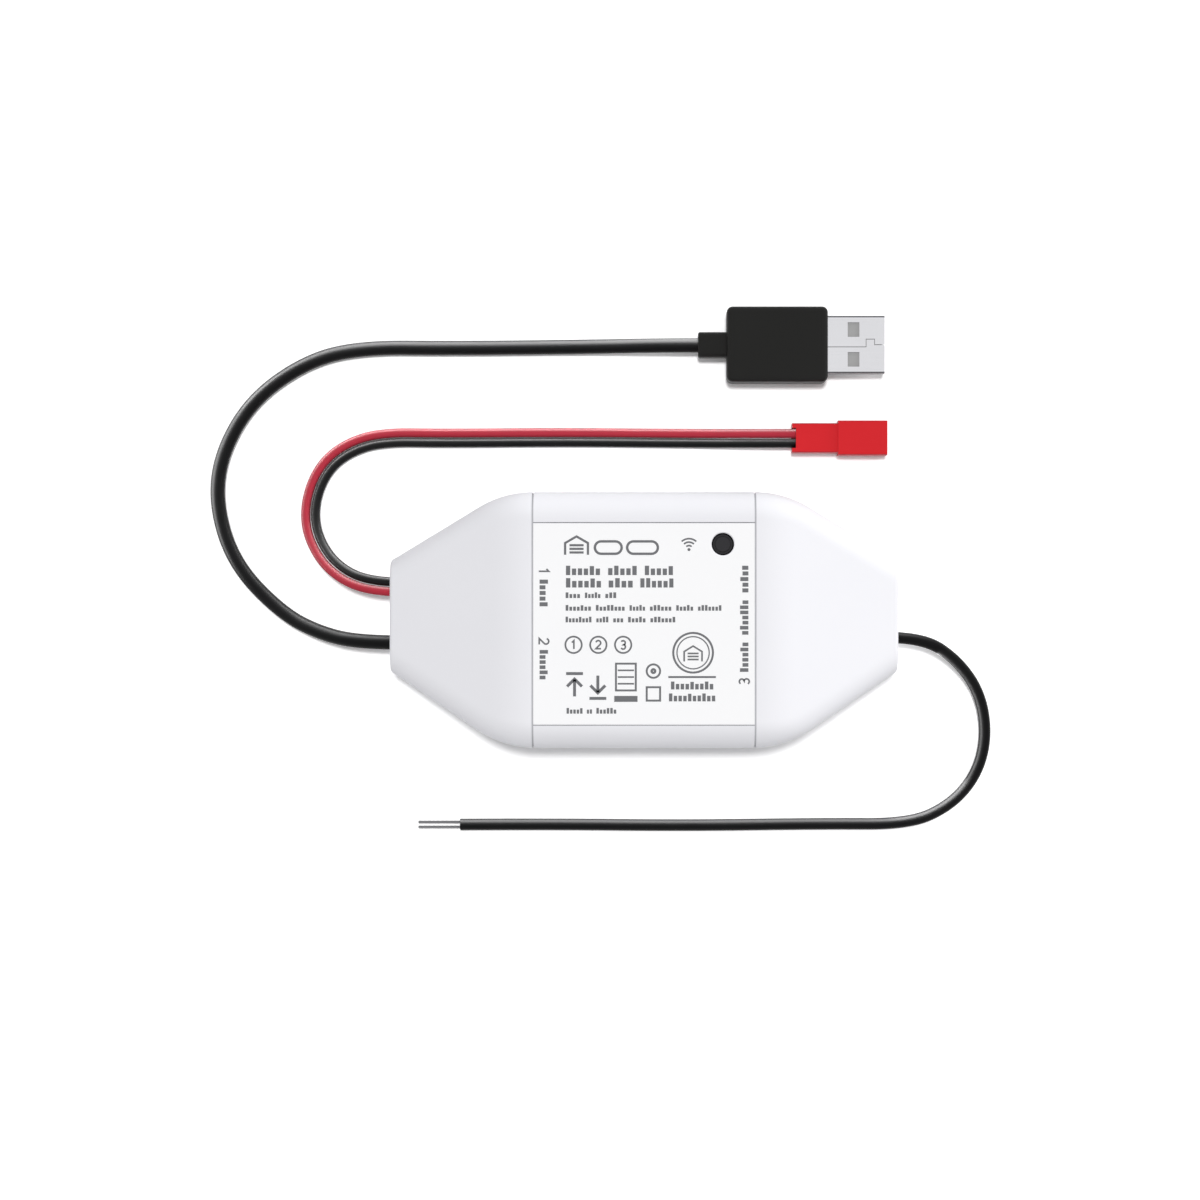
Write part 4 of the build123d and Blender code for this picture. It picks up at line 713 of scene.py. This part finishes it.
@dataclass
class Label:
    """The label's print of blocks, numbers and pictograms, and lines of painted shade beside it.

    All places and sizes but rise and sink are in millimetres from the middle of the case.

    Attributes:
        rise: how far the print stands out of the label.
        sink: how far its underside is below the label's face.
        grey: its finish.
        lines: the rows of blocks.
        numbers: each number with its middle, its height and its turn in degrees.
        gap_shade_lines: how far up the lines of painted shade in the gaps beside the label are.
        gap_shade_width: how thick they are.
        rings: each ring's middle, radius and line: around the numbers and the garage, the
            ring with a dot and the foot of the radio waves.
        waves: each radio wave's foot, radius, start and end in degrees, and line.
        pills: each empty rounded frame's middle, width, height and line.
        frames: the same for the cabinet and the square.
        garages: the same for the two garages.
        rules: each straight line's two ends and thickness: the cabinet's shelves, the thick
            line under it and the line under the ringed garage.
        arrows: each arrow's middle, and 1 if it points up or -1 if down.
    """

    rise: float = 0.00002
    sink: float = 0.00001
    grey: Finish = PRINT_GREY
    lines: tuple[Line, ...] = (
        Line((-15.9, 10.0), 1.9, (7.2, 6.1, 6.0), gap=1.3),
        Line((-15.9, 7.5), 1.9, (7.4, 5.2, 7.0), gap=1.2),
        Line((-15.9, 5.0), 1.15, (3.1, 3.3, 2.4)),
        Line((-15.9, 2.45), 1.15, (5.3, 6.0, 3.3, 4.5, 3.6, 4.9)),
        Line((-15.9, 0.1), 1.15, (5.4, 2.6, 2.2, 3.7, 5.2)),
        Line((5.3, -13.2), 1.6, (8.8,)),
        Line((4.9, -15.6), 1.6, (9.6,)),
        Line((-15.7, -18.3), 1.15, (3.4, 1.2, 4.2), gap=0.7),
        Line((-20.2, 8.3), 1.7, (5.7,), turn=-90.0),
        Line((-20.2, -5.9), 1.7, (6.2,), turn=-90.0),
        Line((20.2, -10.6), 1.7, (6.2, 7.2, 5.7), gap=1.3, turn=90.0),
    )
    numbers: tuple[tuple[str, Place, float, float], ...] = (
        ("1", (-20.2, 9.9), 2.0, -90.0),
        ("2", (-20.2, -4.3), 2.0, -90.0),
        ("3", (20.2, -12.4), 2.0, 90.0),
        ("1", (-14.2, -5.0), 1.7, 0.0),
        ("2", (-9.2, -5.0), 1.7, 0.0),
        ("3", (-4.2, -5.0), 1.7, 0.0),
    )
    gap_shade_lines: tuple[float, ...] = (-21.225, 19.625)
    gap_shade_width: float = 0.11
    rings: tuple[tuple[Place, float, float], ...] = (
        *(((x, -5.0), 1.65, 0.36) for x in (-14.2, -9.2, -4.2)),
        ((9.9, -6.6), 4.0, 0.42), ((9.9, -6.6), 3.25, 0.26), ((1.9, -10.3), 1.35, 0.4),
        ((1.9, -10.3), 0.35, 0.5), ((9.07, 14.2), 0.16, 0.3),
    )
    waves: tuple[tuple[Place, float, float, float, float], ...] = tuple(
        ((9.07, 14.2), radius, 48.0, 132.0, 0.34) for radius in (0.8, 1.5, 2.2)
    )
    pills: tuple[Mark, ...] = (((-7.2, 14.6), 5.4, 2.5, 0.5), ((-0.3, 14.6), 6.2, 2.5, 0.5))
    frames: tuple[Mark, ...] = (((-3.65, -11.5), 4.0, 5.4, 0.4), ((1.9, -14.9), 2.7, 2.7, 0.4))
    garages: tuple[Mark, ...] = (((-13.6, 15.0), 4.6, 3.7, 0.46), ((9.9, -6.8), 3.6, 3.1, 0.34))
    rules: tuple[tuple[Place, Place, float], ...] = (
        *(((-5.3, y), (-2.0, y), 0.34) for y in (-10.15, -11.5, -12.85)),
        ((-6.0, -15.9), (-1.3, -15.9), 1.2), ((4.9, -11.5), (14.5, -11.5), 0.4),
    )
    arrows: tuple[tuple[Place, int], ...] = (((-14.0, -13.3), 1), ((-9.3, -13.3), -1))

    BAR_FACTS = ("length", "thickness", "turn")

    def build(self, shop: Workshop) -> None:
        """Makes the blocks, numbers and pictograms, and painted shade in the gaps beside the sheet.

        Args:
            shop: where the pieces are made.
        """
        low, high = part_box("face_label")
        shop.place("label_bars", self._bars(shop, high.z), self.grey, "case")
        left, right = low.x / MM, high.x / MM
        # Painted shade: thin grey lines laid in the gaps above and below the label.
        edges = [((left, y), (right, y), self.gap_shade_width) for y in self.gap_shade_lines]
        pictograms = (
            (Pen.ring, self.rings), (Pen.arc, self.waves), (Pen.pill, self.pills),
            (Pen.frame, self.frames), (Pen.garage, self.garages), (Pen.rule, self.rules),
            (Pen.arrow, self.arrows),
        )
        for name, level, drawn in (
            ("label_numbers", high.z, ((Pen.number, self.numbers),)),
            ("label_pictograms", high.z, pictograms),
            ("label_gap_shade_lines", low.z, ((Pen.rule, edges),)),
        ):
            pen = Pen(level - self.sink, level + self.rise)
            for draw, marks in drawn:
                for mark in marks:
                    draw(pen, *mark)
            shop.place(name, plain_mesh(pen.shape, name), self.grey, "case")

    def _bars(self, shop: Workshop, face: float) -> Mesh:
        """Makes the rows of blocks with a geometry tree that puts a block on each point.

        Args:
            shop: what runs the tree.
            face: the level of the label's face.

        Returns:
            The mesh of all blocks.
        """
        bars = [bar for line in self.lines for bar in line.bars()]
        level = face + (self.rise - self.sink) / 2
        points = bpy.data.meshes.new("bar points")
        points.from_pydata([(x, y, level) for (x, y, _), _, _, _ in bars], [], [])
        for index, name in enumerate(self.BAR_FACTS, start=1):
            column = points.attributes.new(name, "FLOAT", "POINT")
            column.data.foreach_set("value", [bar[index] for bar in bars])
        return shop.grow(
            points, self._bar_tree(), Height=self.rise + self.sink,
            Material=shop.material(self.grey),
        )

    def _bar_tree(self) -> GroupBuilder:
        """Builds the geometry tree that puts a block on each point.

        Returns:
            The finished tree.
        """
        tree = GroupBuilder(
            "bars on points", "Geometry",
            {"Geometry": "Geometry", "Height": "Float", "Material": "Material"},
            {"Geometry": "Geometry"},
        )
        read = {}
        for name in self.BAR_FACTS:
            attribute = tree.add("GeometryNodeInputNamedAttribute", data_type="FLOAT")
            read[name] = tree.fill(attribute, Name=name).outputs["Attribute"]
        turned = tree.make("FunctionNodeEulerToRotation", Euler=tree.vector(Z=read["turn"]))
        block = tree.make("GeometryNodeMeshCube", Size=(1.0, 1.0, 1.0))
        put = tree.make(
            "GeometryNodeInstanceOnPoints", Points=tree.given["Geometry"],
            Instance=block.outputs["Mesh"], Rotation=turned.outputs["Rotation"],
            Scale=tree.vector(X=read["length"], Y=read["thickness"], Z=tree.given["Height"]),
        )
        tree.finish(put.outputs["Instances"], smooth=False)
        return tree


class Pen:
    """Draws flat ribbons between two levels into one mesh. Places are in millimetres."""

    ROUND_STEPS = 48
    LEAST_STEPS = 6
    PILL_STEPS = 12
    NUMBER_STEPS = 14
    NUMBER_LINE = 0.34
    MITRE_LIMIT = 0.4
    EAVES = 0.14
    DOOR = 0.62
    SLATS = (0.196, 0.504, 0.812)
    ARROW_LINE = 0.6
    ARROW = (
        ((0.0, -2.1), (0.0, 1.3)),
        ((-1.5, -0.1), (0.0, 1.4), (1.5, -0.1)),
        ((-1.7, 2.5), (1.7, 2.5)),
    )

    def __init__(self, low: float, high: float) -> None:
        """Keeps the two levels that every ribbon reaches between, in metres."""
        self.low = low
        self.high = high
        self.shape = bmesh.new()

    def ribbon(self, path: list[Place], width: float, closed: bool = False) -> None:
        """Draws a ribbon along a path, mitred at its corners.

        Args:
            path: the points that it follows.
            width: how wide it is.
            closed: whether its end joins its start.
        """
        points = [Vector(point) * MM for point in path]
        sections = []
        for index in range(len(points)):
            left, right = self._sides(points, index, width * MM / 2, closed)
            corners = ((left, self.low), (left, self.high), (right, self.high), (right, self.low))
            sections.append([(spot.x, spot.y, level) for spot, level in corners])
        add_bar(self.shape, sections, closed)

    def _sides(
        self, points: list[Vector], index: int, half: float, closed: bool
    ) -> tuple[Vector, Vector]:
        """Works out the two edge points of a ribbon at one point of its path.

        Args:
            points: the points of the path.
            index: which of them.
            half: half the ribbon's width.
            closed: whether its end joins its start.

        Returns:
            The edge points at the left and at the right.
        """
        last = len(points) - 1
        before = points[index] - points[index - 1] if index or closed else points[1] - points[0]
        after = before
        if index < last or closed:
            after = points[(index + 1) % len(points)] - points[index]
        left_before, left_after = (Vector((-leg.y, leg.x)).normalized() for leg in (before, after))
        across = (left_before + left_after).normalized()
        reach = across * half / max(self.MITRE_LIMIT, across.dot(left_before))
        return points[index] + reach, points[index] - reach

    def rule(self, start: Place, end: Place, width: float) -> None:
        """Draws a straight line."""
        self.ribbon([start, end], width)

    def arc(self, middle: Place, radius: float, start: float, end: float, width: float) -> None:
        """Draws an arc between two angles in degrees."""
        steps = max(self.LEAST_STEPS, round(self.ROUND_STEPS * abs(end - start) / 360))
        self.ribbon(arc_points(middle, radius, start, end, steps), width)

    def ring(self, middle: Place, radius: float, width: float) -> None:
        """Draws a closed ring."""
        round_trip = arc_points(middle, radius, 0.0, 360.0, self.ROUND_STEPS)
        self.ribbon(round_trip[:-1], width, closed=True)

    def frame(self, middle: Place, width: float, height: float, line: float) -> None:
        """Draws the outline of an upright rectangle."""
        x, y = middle
        right, up = width / 2, height / 2
        turns = ((-right, -up), (right, -up), (right, up), (-right, up))
        self.ribbon([(x + across, y + along) for across, along in turns], line, closed=True)

    def pill(self, middle: Place, width: float, height: float, line: float) -> None:
        """Draws the outline of a bar with round ends."""
        x, y = middle
        radius = height / 2
        reach = width / 2 - radius
        right = arc_points((x + reach, y), radius, -90, 90, self.PILL_STEPS)
        left = arc_points((x - reach, y), radius, 90, 270, self.PILL_STEPS)
        self.ribbon(right + left, line, closed=True)

    def garage(self, middle: Place, width: float, height: float, line: float) -> None:
        """Draws a roof over a door with slats.

        Args:
            middle: the middle of its height and width.
            width: how wide it is.
            height: how high it is.
            line: how thick its lines are.
        """
        x, y = middle
        half, low, high = width / 2, y - height / 2, y + height / 2
        eaves = y + height * self.EAVES
        walls = [(x - half, low), (x - half, eaves), (x, high), (x + half, eaves), (x + half, low)]
        self.ribbon(walls, line)
        door = half * self.DOOR
        for share in self.SLATS:
            slat = low + (eaves - low) * share
            self.rule((x - door, slat), (x + door, slat), line)

    def arrow(self, middle: Place, side: int) -> None:
        """Draws an arrow up (1) or down (-1) with a bar at its tip."""
        x, y = middle
        for stroke in self.ARROW:
            self.ribbon([(x + across, y + up * side) for across, up in stroke], self.ARROW_LINE)

    def number(self, text: str, middle: Place, height: float, turn: float) -> None:
        """Draws the number 1, 2 or 3 around its middle, turned by some degrees."""
        turned = Matrix.Rotation(math.radians(turn), 2)
        spots = [turned @ Vector(spot) * height + Vector(middle) for spot in self._stroke(text)]
        self.ribbon([(spot.x, spot.y) for spot in spots], self.NUMBER_LINE)

    def _stroke(self, text: str) -> list[Place]:
        """Works out the stroke of a number that is 1 tall, around its middle.

        Args:
            text: the number 1, 2 or 3.

        Returns:
            The points of the stroke.
        """
        if text == "1":
            return [(-0.2, 0.26), (0.04, 0.5), (0.04, -0.5)]
        steps = self.NUMBER_STEPS
        if text == "2":
            return arc_points((0.0, 0.22), 0.28, 165, -35, steps) + [(-0.29, -0.46), (0.31, -0.46)]
        upper = arc_points((0.0, 0.24), 0.25, 150, -90, steps)
        return upper + arc_points((0.0, -0.24), 0.27, 90, -150, steps)[1:]


class Stiffness(Enum):
    """How easily a cord bends."""

    LIMP = "limp"
    MEDIUM = "medium"


@dataclass
class Cord:
    """A free cord on its given route, from where it leaves the case to its far end.

    Attributes:
        node: the node of the frame that it replaces.
        finish: what its jacket is made of.
        radius: its radius in metres.
        length: its real length in metres. Not used.
        far_end: what is on its far end. Not used.
        stiffness: how easily it bends. Not used.
        goes_with: the pieces that go with its far end. Not used.
    """

    node: str
    finish: Finish
    radius: float
    length: float
    far_end: str
    stiffness: Stiffness
    goes_with: list[Object]

    STEPS = 24
    SECTION_ROUNDING = 7

    def build(self, shop: Workshop, route: Sequence[Point]) -> Object:
        """Makes the cord as a smooth spline with a round section.

        Args:
            shop: where the piece is made.
            route: the points that steer it, in metres.

        Returns:
            The cord.
        """
        name = f"{self.node}_jacket"
        curve = bpy.data.curves.new(name, "CURVE")
        curve.dimensions = "3D"
        spline = curve.splines.new("NURBS")
        spline.points.add(len(route) - 1)
        for point, place in zip(spline.points, route):
            point.co = (*place, 1.0)
        spline.order_u = 3
        spline.use_endpoint_u = True
        curve.resolution_u = self.STEPS
        curve.bevel_depth = self.radius
        curve.bevel_resolution = self.SECTION_ROUNDING
        curve.use_fill_caps = True
        piece = shop.place(name, curve, self.finish, "case")
        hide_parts(self.node)
        return piece


@dataclass
class Wiring:
    """The power cord, the pair of sensor wires and the signal cord, with their routes.

    Attributes:
        wire_pitch: how far apart the middles of the two sensor wires are.
        conductor_radius: the radius of a bare conductor.
        conductor_pitch: how far apart the middles of the two bare conductors are.
        conductor_length: how far they stand out of the jacket.
        strand_turns: how often a strand winds around its conductor.
        strand_count: the strands around the one in the middle.
        power_route: the power cord's points.
        sensor_route: the points midway between the two sensor wires.
        signal_route: the signal cord's points.
    """

    wire_pitch: float = 0.00205
    conductor_radius: float = 0.00029
    conductor_pitch: float = 0.00104
    conductor_length: float = 0.0087
    strand_turns: float = 1.6
    strand_count: int = 6
    power_route: tuple[Point, ...] = (
        (-0.0499, -0.00465, 0.0075), (-0.058, -0.00465, 0.0075), (-0.0665, -0.003, 0.0047),
        (-0.0752, 0.0012, 0.0019), (-0.0852, 0.0114, 0.0015), (-0.0892, 0.0236, 0.0015),
        (-0.0882, 0.0345, 0.0015), (-0.0816, 0.046, 0.0015), (-0.0698, 0.0542, 0.0015),
        (-0.0582, 0.0568, 0.0015), (-0.04, 0.0566, 0.0015), (-0.012, 0.0569, 0.0015),
        (0.0032, 0.057, 0.004), (0.0112, 0.057, 0.004),
    )
    sensor_route: tuple[Point, ...] = (
        (-0.0499, 0.00682, 0.0075), (-0.057, 0.00682, 0.0075), (-0.0648, 0.0108, 0.0044),
        (-0.0692, 0.0176, 0.0017), (-0.0697, 0.0244, 0.00095), (-0.0671, 0.0313, 0.00095),
        (-0.0622, 0.0357, 0.00095), (-0.0549, 0.0381, 0.00095), (-0.0415, 0.0379, 0.00095),
        (-0.017, 0.0381, 0.00095), (0.0094, 0.03785, 0.00095), (0.0232, 0.03775, 0.0029),
        (0.0323, 0.03775, 0.0029),
    )
    signal_route: tuple[Point, ...] = (
        (0.0499, -0.0036, 0.0075), (0.0576, -0.0036, 0.0075), (0.0649, -0.0083, 0.0049),
        (0.0699, -0.0152, 0.0024), (0.0714, -0.024, 0.0012), (0.0694, -0.0321, 0.0012),
        (0.064, -0.0385, 0.0012), (0.0554, -0.0425, 0.0012), (0.0374, -0.0424, 0.0012),
        (0.0075, -0.0428, 0.0012), (-0.0195, -0.0425, 0.0012), (-0.0383, -0.0426, 0.0012),
    )

    SECTION_STEPS = 12
    HELIX_STEPS = 36

    def beside(self, offset: float) -> list[Point]:
        """Works out the route of one sensor wire, beside the pair's middle line in plan.

        Args:
            offset: how far to the left of the middle line it runs, in metres.

        Returns:
            The points of that wire's route.
        """
        flat = [Vector((x, y)) for x, y, _ in self.sensor_route]
        legs = [(after - before).normalized() for before, after in zip(flat, flat[1:])]
        legs = [legs[0]] + legs + [legs[-1]]
        moved = []
        for (x, y, z), before, after in zip(self.sensor_route, legs, legs[1:]):
            across = Vector((-before.y - after.y, before.x + after.x))
            shift = across * (offset / (1 + before.dot(after)))
            moved.append((x + shift.x, y + shift.y, z))
        return moved

    def build(self, shop: Workshop) -> tuple[list[Object], Object]:
        """Args:
            shop: where the pieces are made.

        Returns:
            The four cords, and the strands.
        """
        nodes = frame["nodes"]
        parts = ("strain_relief", "overmould", "shell", "tongue", "contacts")
        plug = [nodes[f"usb_{part}"] for part in parts]
        connector = [nodes["sensor_connector_housing"], nodes["sensor_connector_pins"]]
        strands = self._strands(shop)
        shift = self.wire_pitch / 2
        limp = Stiffness.LIMP
        cords = (
            Cord("power_cord", JACKET_BLACK, 0.0015, 0.1733, "plug", Stiffness.MEDIUM, plug),
            Cord("sensor_wire_red", WIRE_RED, 0.00095, 0.1431, "connector", limp, connector),
            Cord("sensor_wire_black", WIRE_BLACK, 0.00095, 0.1367, "connector", limp, connector),
            Cord("signal_cord", JACKET_BLACK, 0.0012, 0.1536, "bare", limp, [strands]),
        )
        routes = (self.power_route, self.beside(shift), self.beside(-shift), self.signal_route)
        return [cord.build(shop, route) for cord, route in zip(cords, routes)], strands

    def _strands(self, shop: Workshop) -> Object:
        """Makes the two bare conductors as twisted strands, with a geometry tree.

        Args:
            shop: where the piece is made.

        Returns:
            The strands, in place of the frame's plain conductors.
        """
        strand = self.conductor_radius / 3
        mesh = shop.grow(
            bpy.data.meshes.new("strand carrier"), self._strand_tree(), Strand_Radius=strand,
            Lay_Radius=2 * strand, Length=self.conductor_length, Turns=self.strand_turns,
            Strands=self.strand_count, Pitch=self.conductor_pitch,
            Material=shop.material(CONDUCTOR_TIN),
        )
        low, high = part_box("signal_conductors")
        middle = (low + high) / 2
        turned = Matrix.Rotation(math.radians(90), 4, "Y")
        mesh.transform(Matrix.Translation((low.x, middle.y, middle.z)) @ turned)
        piece = shop.place("signal_strands", mesh, CONDUCTOR_TIN, "case")
        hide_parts("signal_conductors")
        return piece

    def _strand_tree(self) -> GroupBuilder:
        """Builds the geometry tree of the twisted strands, which stand along Z.

        Returns:
            The finished tree.
        """
        sizes = ("Strand Radius", "Lay Radius", "Length", "Turns", "Pitch")
        tree = GroupBuilder(
            "twisted strands", "Geometry",
            {**dict.fromkeys(sizes, "Float"), "Strands": "Int", "Material": "Material"},
            {"Geometry": "Geometry"},
        )
        given = tree.given
        section = tree.make(
            "GeometryNodeCurvePrimitiveCircle", Resolution=self.SECTION_STEPS,
            Radius=given["Strand Radius"],
        )
        helix = tree.make(
            "GeometryNodeCurveSpiral", Resolution=self.HELIX_STEPS, Rotations=given["Turns"],
            Start_Radius=given["Lay Radius"], End_Radius=given["Lay Radius"],
            Height=given["Length"],
        )
        core = tree.make("GeometryNodeCurvePrimitiveLine", End=tree.vector(Z=given["Length"]))
        outer, inner = (
            tree.make(
                "GeometryNodeCurveToMesh", Curve=line.outputs["Curve"],
                Profile_Curve=section.outputs["Curve"], Fill_Caps=True,
            ).outputs["Mesh"]
            for line in (helix, core)
        )
        index = tree.add("GeometryNodeInputIndex").outputs["Index"]
        angle = tree.math("MULTIPLY", tree.math("DIVIDE", index, given["Strands"]), math.tau)
        turned = tree.make("FunctionNodeEulerToRotation", Euler=tree.vector(Z=angle))
        around = tree.make(
            "GeometryNodeInstanceOnPoints", Instance=outer, Rotation=turned.outputs["Rotation"],
            Points=tree.make("GeometryNodePoints", Count=given["Strands"]).outputs["Points"],
        )
        bundle = tree.make("GeometryNodeJoinGeometry", Geometry=around.outputs["Instances"])
        tree.fill(bundle, Geometry=inner)
        start = tree.vector(Y=tree.math("MULTIPLY", given["Pitch"], -0.5))
        pair = tree.make(
            "GeometryNodeMeshLine", Count=2, Start_Location=start,
            Offset=tree.vector(Y=given["Pitch"]),
        )
        both = tree.make(
            "GeometryNodeInstanceOnPoints", Points=pair.outputs["Mesh"],
            Instance=bundle.outputs["Geometry"],
        )
        tree.finish(both.outputs["Instances"], smooth=True)
        return tree


@dataclass(frozen=True)
class SoftBox:
    """An upright soft box that only draws the gloss on the cords.

    Attributes:
        place: its middle, in metres.
        facing: the way it shines, in plan.
        width: how wide it is.
        height: how high it is.
        strength: how bright it is.
    """

    place: Point
    facing: Place
    width: float
    height: float
    strength: float


@dataclass
class Studio:
    """The camera, the floor, the lamps and the world.

    Attributes:
        camera_height: how high the camera is over the floor.
        lens: its focal length, in millimetres.
        sensor_width: how wide its sensor is, in millimetres.
        frame_side: the side of the photograph, in pixels.
        body_pixel: where the middle of the case shows in it, from the upper left.
        high_sun: how much light the high sun brings along each axis, as shares of full light.
        high_sun_angle: how wide it is, in degrees.
        side_sun: the same for the low sun at the right.
        side_sun_angle: how wide it is, in degrees.
        sky: how much light the surroundings bring.
        boxes: the soft boxes. The last two stand before the case, which hides the others there.
        floor_side: the side of the floor.
        floor_drop: how far the floor lies under the object.
        floor_tone: the floor's tone for the light that meets it, as it shows on a screen.
        floor_grey: the tone of each of the two layers of floor that the camera sees.
        floor_lift: how much light the camera sees in the floor's deepest shadow.
    """

    camera_height: float = 0.7
    lens: float = 100.6
    sensor_width: float = 36.0
    frame_side: float = 1200.0
    body_pixel: Place = (644.0, 620.0)
    high_sun: Point = (0.0, 0.08, 0.59)
    high_sun_angle: float = 8.0
    side_sun: Point = (0.62, 0.36, 0.05)
    side_sun_angle: float = 40.0
    sky: float = 0.31
    boxes: tuple[SoftBox, ...] = (
        SoftBox((-0.25, 0.9, 0.05), (0.25, -0.9), 1.6, 1.2, 12.0),
        SoftBox((-0.035, 0.067, 0.008), (0.0, -1.0), 0.17, 0.016, 30.0),
        SoftBox((-0.098, 0.032, 0.005), (1.0, -0.3), 0.07, 0.01, 24.0),
        SoftBox((0.005, -0.032, 0.006), (0.0, -1.0), 0.12, 0.012, 30.0),
        SoftBox((0.056, -0.022, 0.006), (1.0, -0.3), 0.03, 0.012, 24.0),
    )
    floor_side: float = 4.0
    floor_drop: float = 0.00005
    floor_tone: ScreenColour = (232, 232, 234)
    floor_grey: Colour = (0.66, 0.66, 0.66, 1.0)
    floor_lift: float = 0.04

    def build(self) -> None:
        """Sets up the whole studio."""
        bpy.context.scene.view_settings.view_transform = "Standard"
        self._camera()
        self._floor()
        self._sun("high sun", Vector(self.high_sun), self.high_sun_angle)
        self._sun("side sun", Vector(self.side_sun), self.side_sun_angle)
        self._world()

    def _camera(self) -> None:
        """Puts the camera straight over the case, with a small shift for the framing."""
        data = bpy.data.cameras.new("camera")
        data.lens = self.lens
        data.sensor_width = self.sensor_width
        middle = self.frame_side / 2
        data.shift_x = (middle - self.body_pixel[0]) / self.frame_side
        data.shift_y = (self.body_pixel[1] - middle) / self.frame_side
        camera = new_object("camera", data)
        camera.location = (0.0, 0.0, self.camera_height)
        bpy.context.scene.camera = camera

    def _floor(self) -> None:
        """Lays a white floor, whose open parts show white and whose contact shadow stays."""
        half = self.floor_side / 2
        mesh = bpy.data.meshes.new("floor")
        corners = [(-half, -half), (half, -half), (half, half), (-half, half)]
        mesh.from_pydata([(x, y, -self.floor_drop) for x, y in corners], [], [(0, 1, 2, 3)])
        floor = new_object("floor", mesh)
        material = bpy.data.materials.new("floor white")
        tree = self._empty_tree(material)
        plain = tree.make("ShaderNodeBsdfDiffuse", Color=tone(self.floor_tone))
        shown, second = (
            tree.make("ShaderNodeBsdfDiffuse", Color=self.floor_grey).outputs[0] for _ in range(2)
        )
        glow = tree.make("ShaderNodeEmission", Color=WHITE, Strength=self.floor_lift).outputs[0]
        for layer in (second, glow):
            shown = tree.join(tree.add("ShaderNodeAddShader"), shown, layer).outputs[0]
        self._show(tree, plain.outputs[0], shown, "ShaderNodeOutputMaterial")
        mesh.materials.append(material)

    def _empty_tree(self, owner: bpy.types.ID) -> TreeBuilder:
        """Empties the node tree of a material or the world, to be built anew."""
        owner.use_nodes = True
        owner.node_tree.nodes.clear()
        return TreeBuilder(owner.node_tree)

    def _show(self, tree: TreeBuilder, plain: Socket, shown: Socket, output: str) -> None:
        """Lets the camera see one shader and lets all other light meet another.

        Args:
            tree: the tree of the material or the world.
            plain: the shader that lights the object.
            shown: the shader that the camera sees, also in gloss and through clear pieces.
            output: Blender's name of the type of the output node.
        """
        path = tree.add("ShaderNodeLightPath").outputs
        seen = tree.math("MAXIMUM", path["Is Camera Ray"], path["Is Glossy Ray"])
        seen = tree.math("MAXIMUM", seen, path["Is Transmission Ray"])
        mix = tree.join(tree.add("ShaderNodeMixShader"), seen, plain, shown)
        tree.make(output, Surface=mix.outputs[0])

    def _sun(self, name: str, pull: Vector, angle: float) -> None:
        """Hangs a soft sun that brings no gloss of its own.

        Args:
            name: the lamp's name.
            pull: how much light it brings along each axis, as shares of full light.
            angle: how wide it is, in degrees.
        """
        data = bpy.data.lights.new(name, "SUN")
        data.energy = pull.length * math.pi
        data.angle = math.radians(angle)
        sun = new_object(name, data)
        sun.rotation_euler = pull.to_track_quat("Z", "Y").to_euler()
        sun.visible_glossy = False

    def gloss(self, cords: list[Object], strands: Object) -> None:
        """Stands the soft boxes at the upper and left sides of the cords.

        They light the cords alone, and only the strands stand in their way.

        Args:
            cords: the cords.
            strands: the bare strands.
        """
        lit = bpy.data.collections.new("gloss on")
        for cord in cords:
            lit.objects.link(cord)
        stopped = bpy.data.collections.new("gloss behind")
        stopped.objects.link(strands)
        for number, spec in enumerate(self.boxes, start=1):
            data = bpy.data.lights.new(f"gloss {number}", "AREA")
            data.shape = "RECTANGLE"
            data.size = spec.width
            data.size_y = spec.height
            data.energy = spec.strength * math.pi * spec.width * spec.height
            box = new_object(f"gloss {number}", data)
            box.location = spec.place
            box.rotation_euler = Vector((*spec.facing, 0.0)).to_track_quat("-Z", "Y").to_euler()
            box.visible_diffuse = False
            box.visible_camera = False
            box.light_linking.receiver_collection = lit
            box.light_linking.blocker_collection = stopped

    def _world(self) -> None:
        """Makes surroundings that show white and light the object plainly."""
        world = bpy.data.worlds.new("surroundings")
        tree = self._empty_tree(world)
        light, shown = (
            tree.make("ShaderNodeBackground", Color=WHITE, Strength=strength).outputs[0]
            for strength in (self.sky, 1.0)
        )
        self._show(tree, light, shown, "ShaderNodeOutputWorld")
        bpy.context.scene.world = world


def main() -> None:
    """Builds the studio and the object, piece by piece."""
    logging.basicConfig(level=logging.INFO, format="%(name)s: %(message)s")
    shop = Workshop()
    studio = Studio()
    studio.build()
    studio.gloss(*Wiring().build(shop))
    Housing().dress(shop)
    Label().build(shop)


if __name__ == "__main__":
    main()
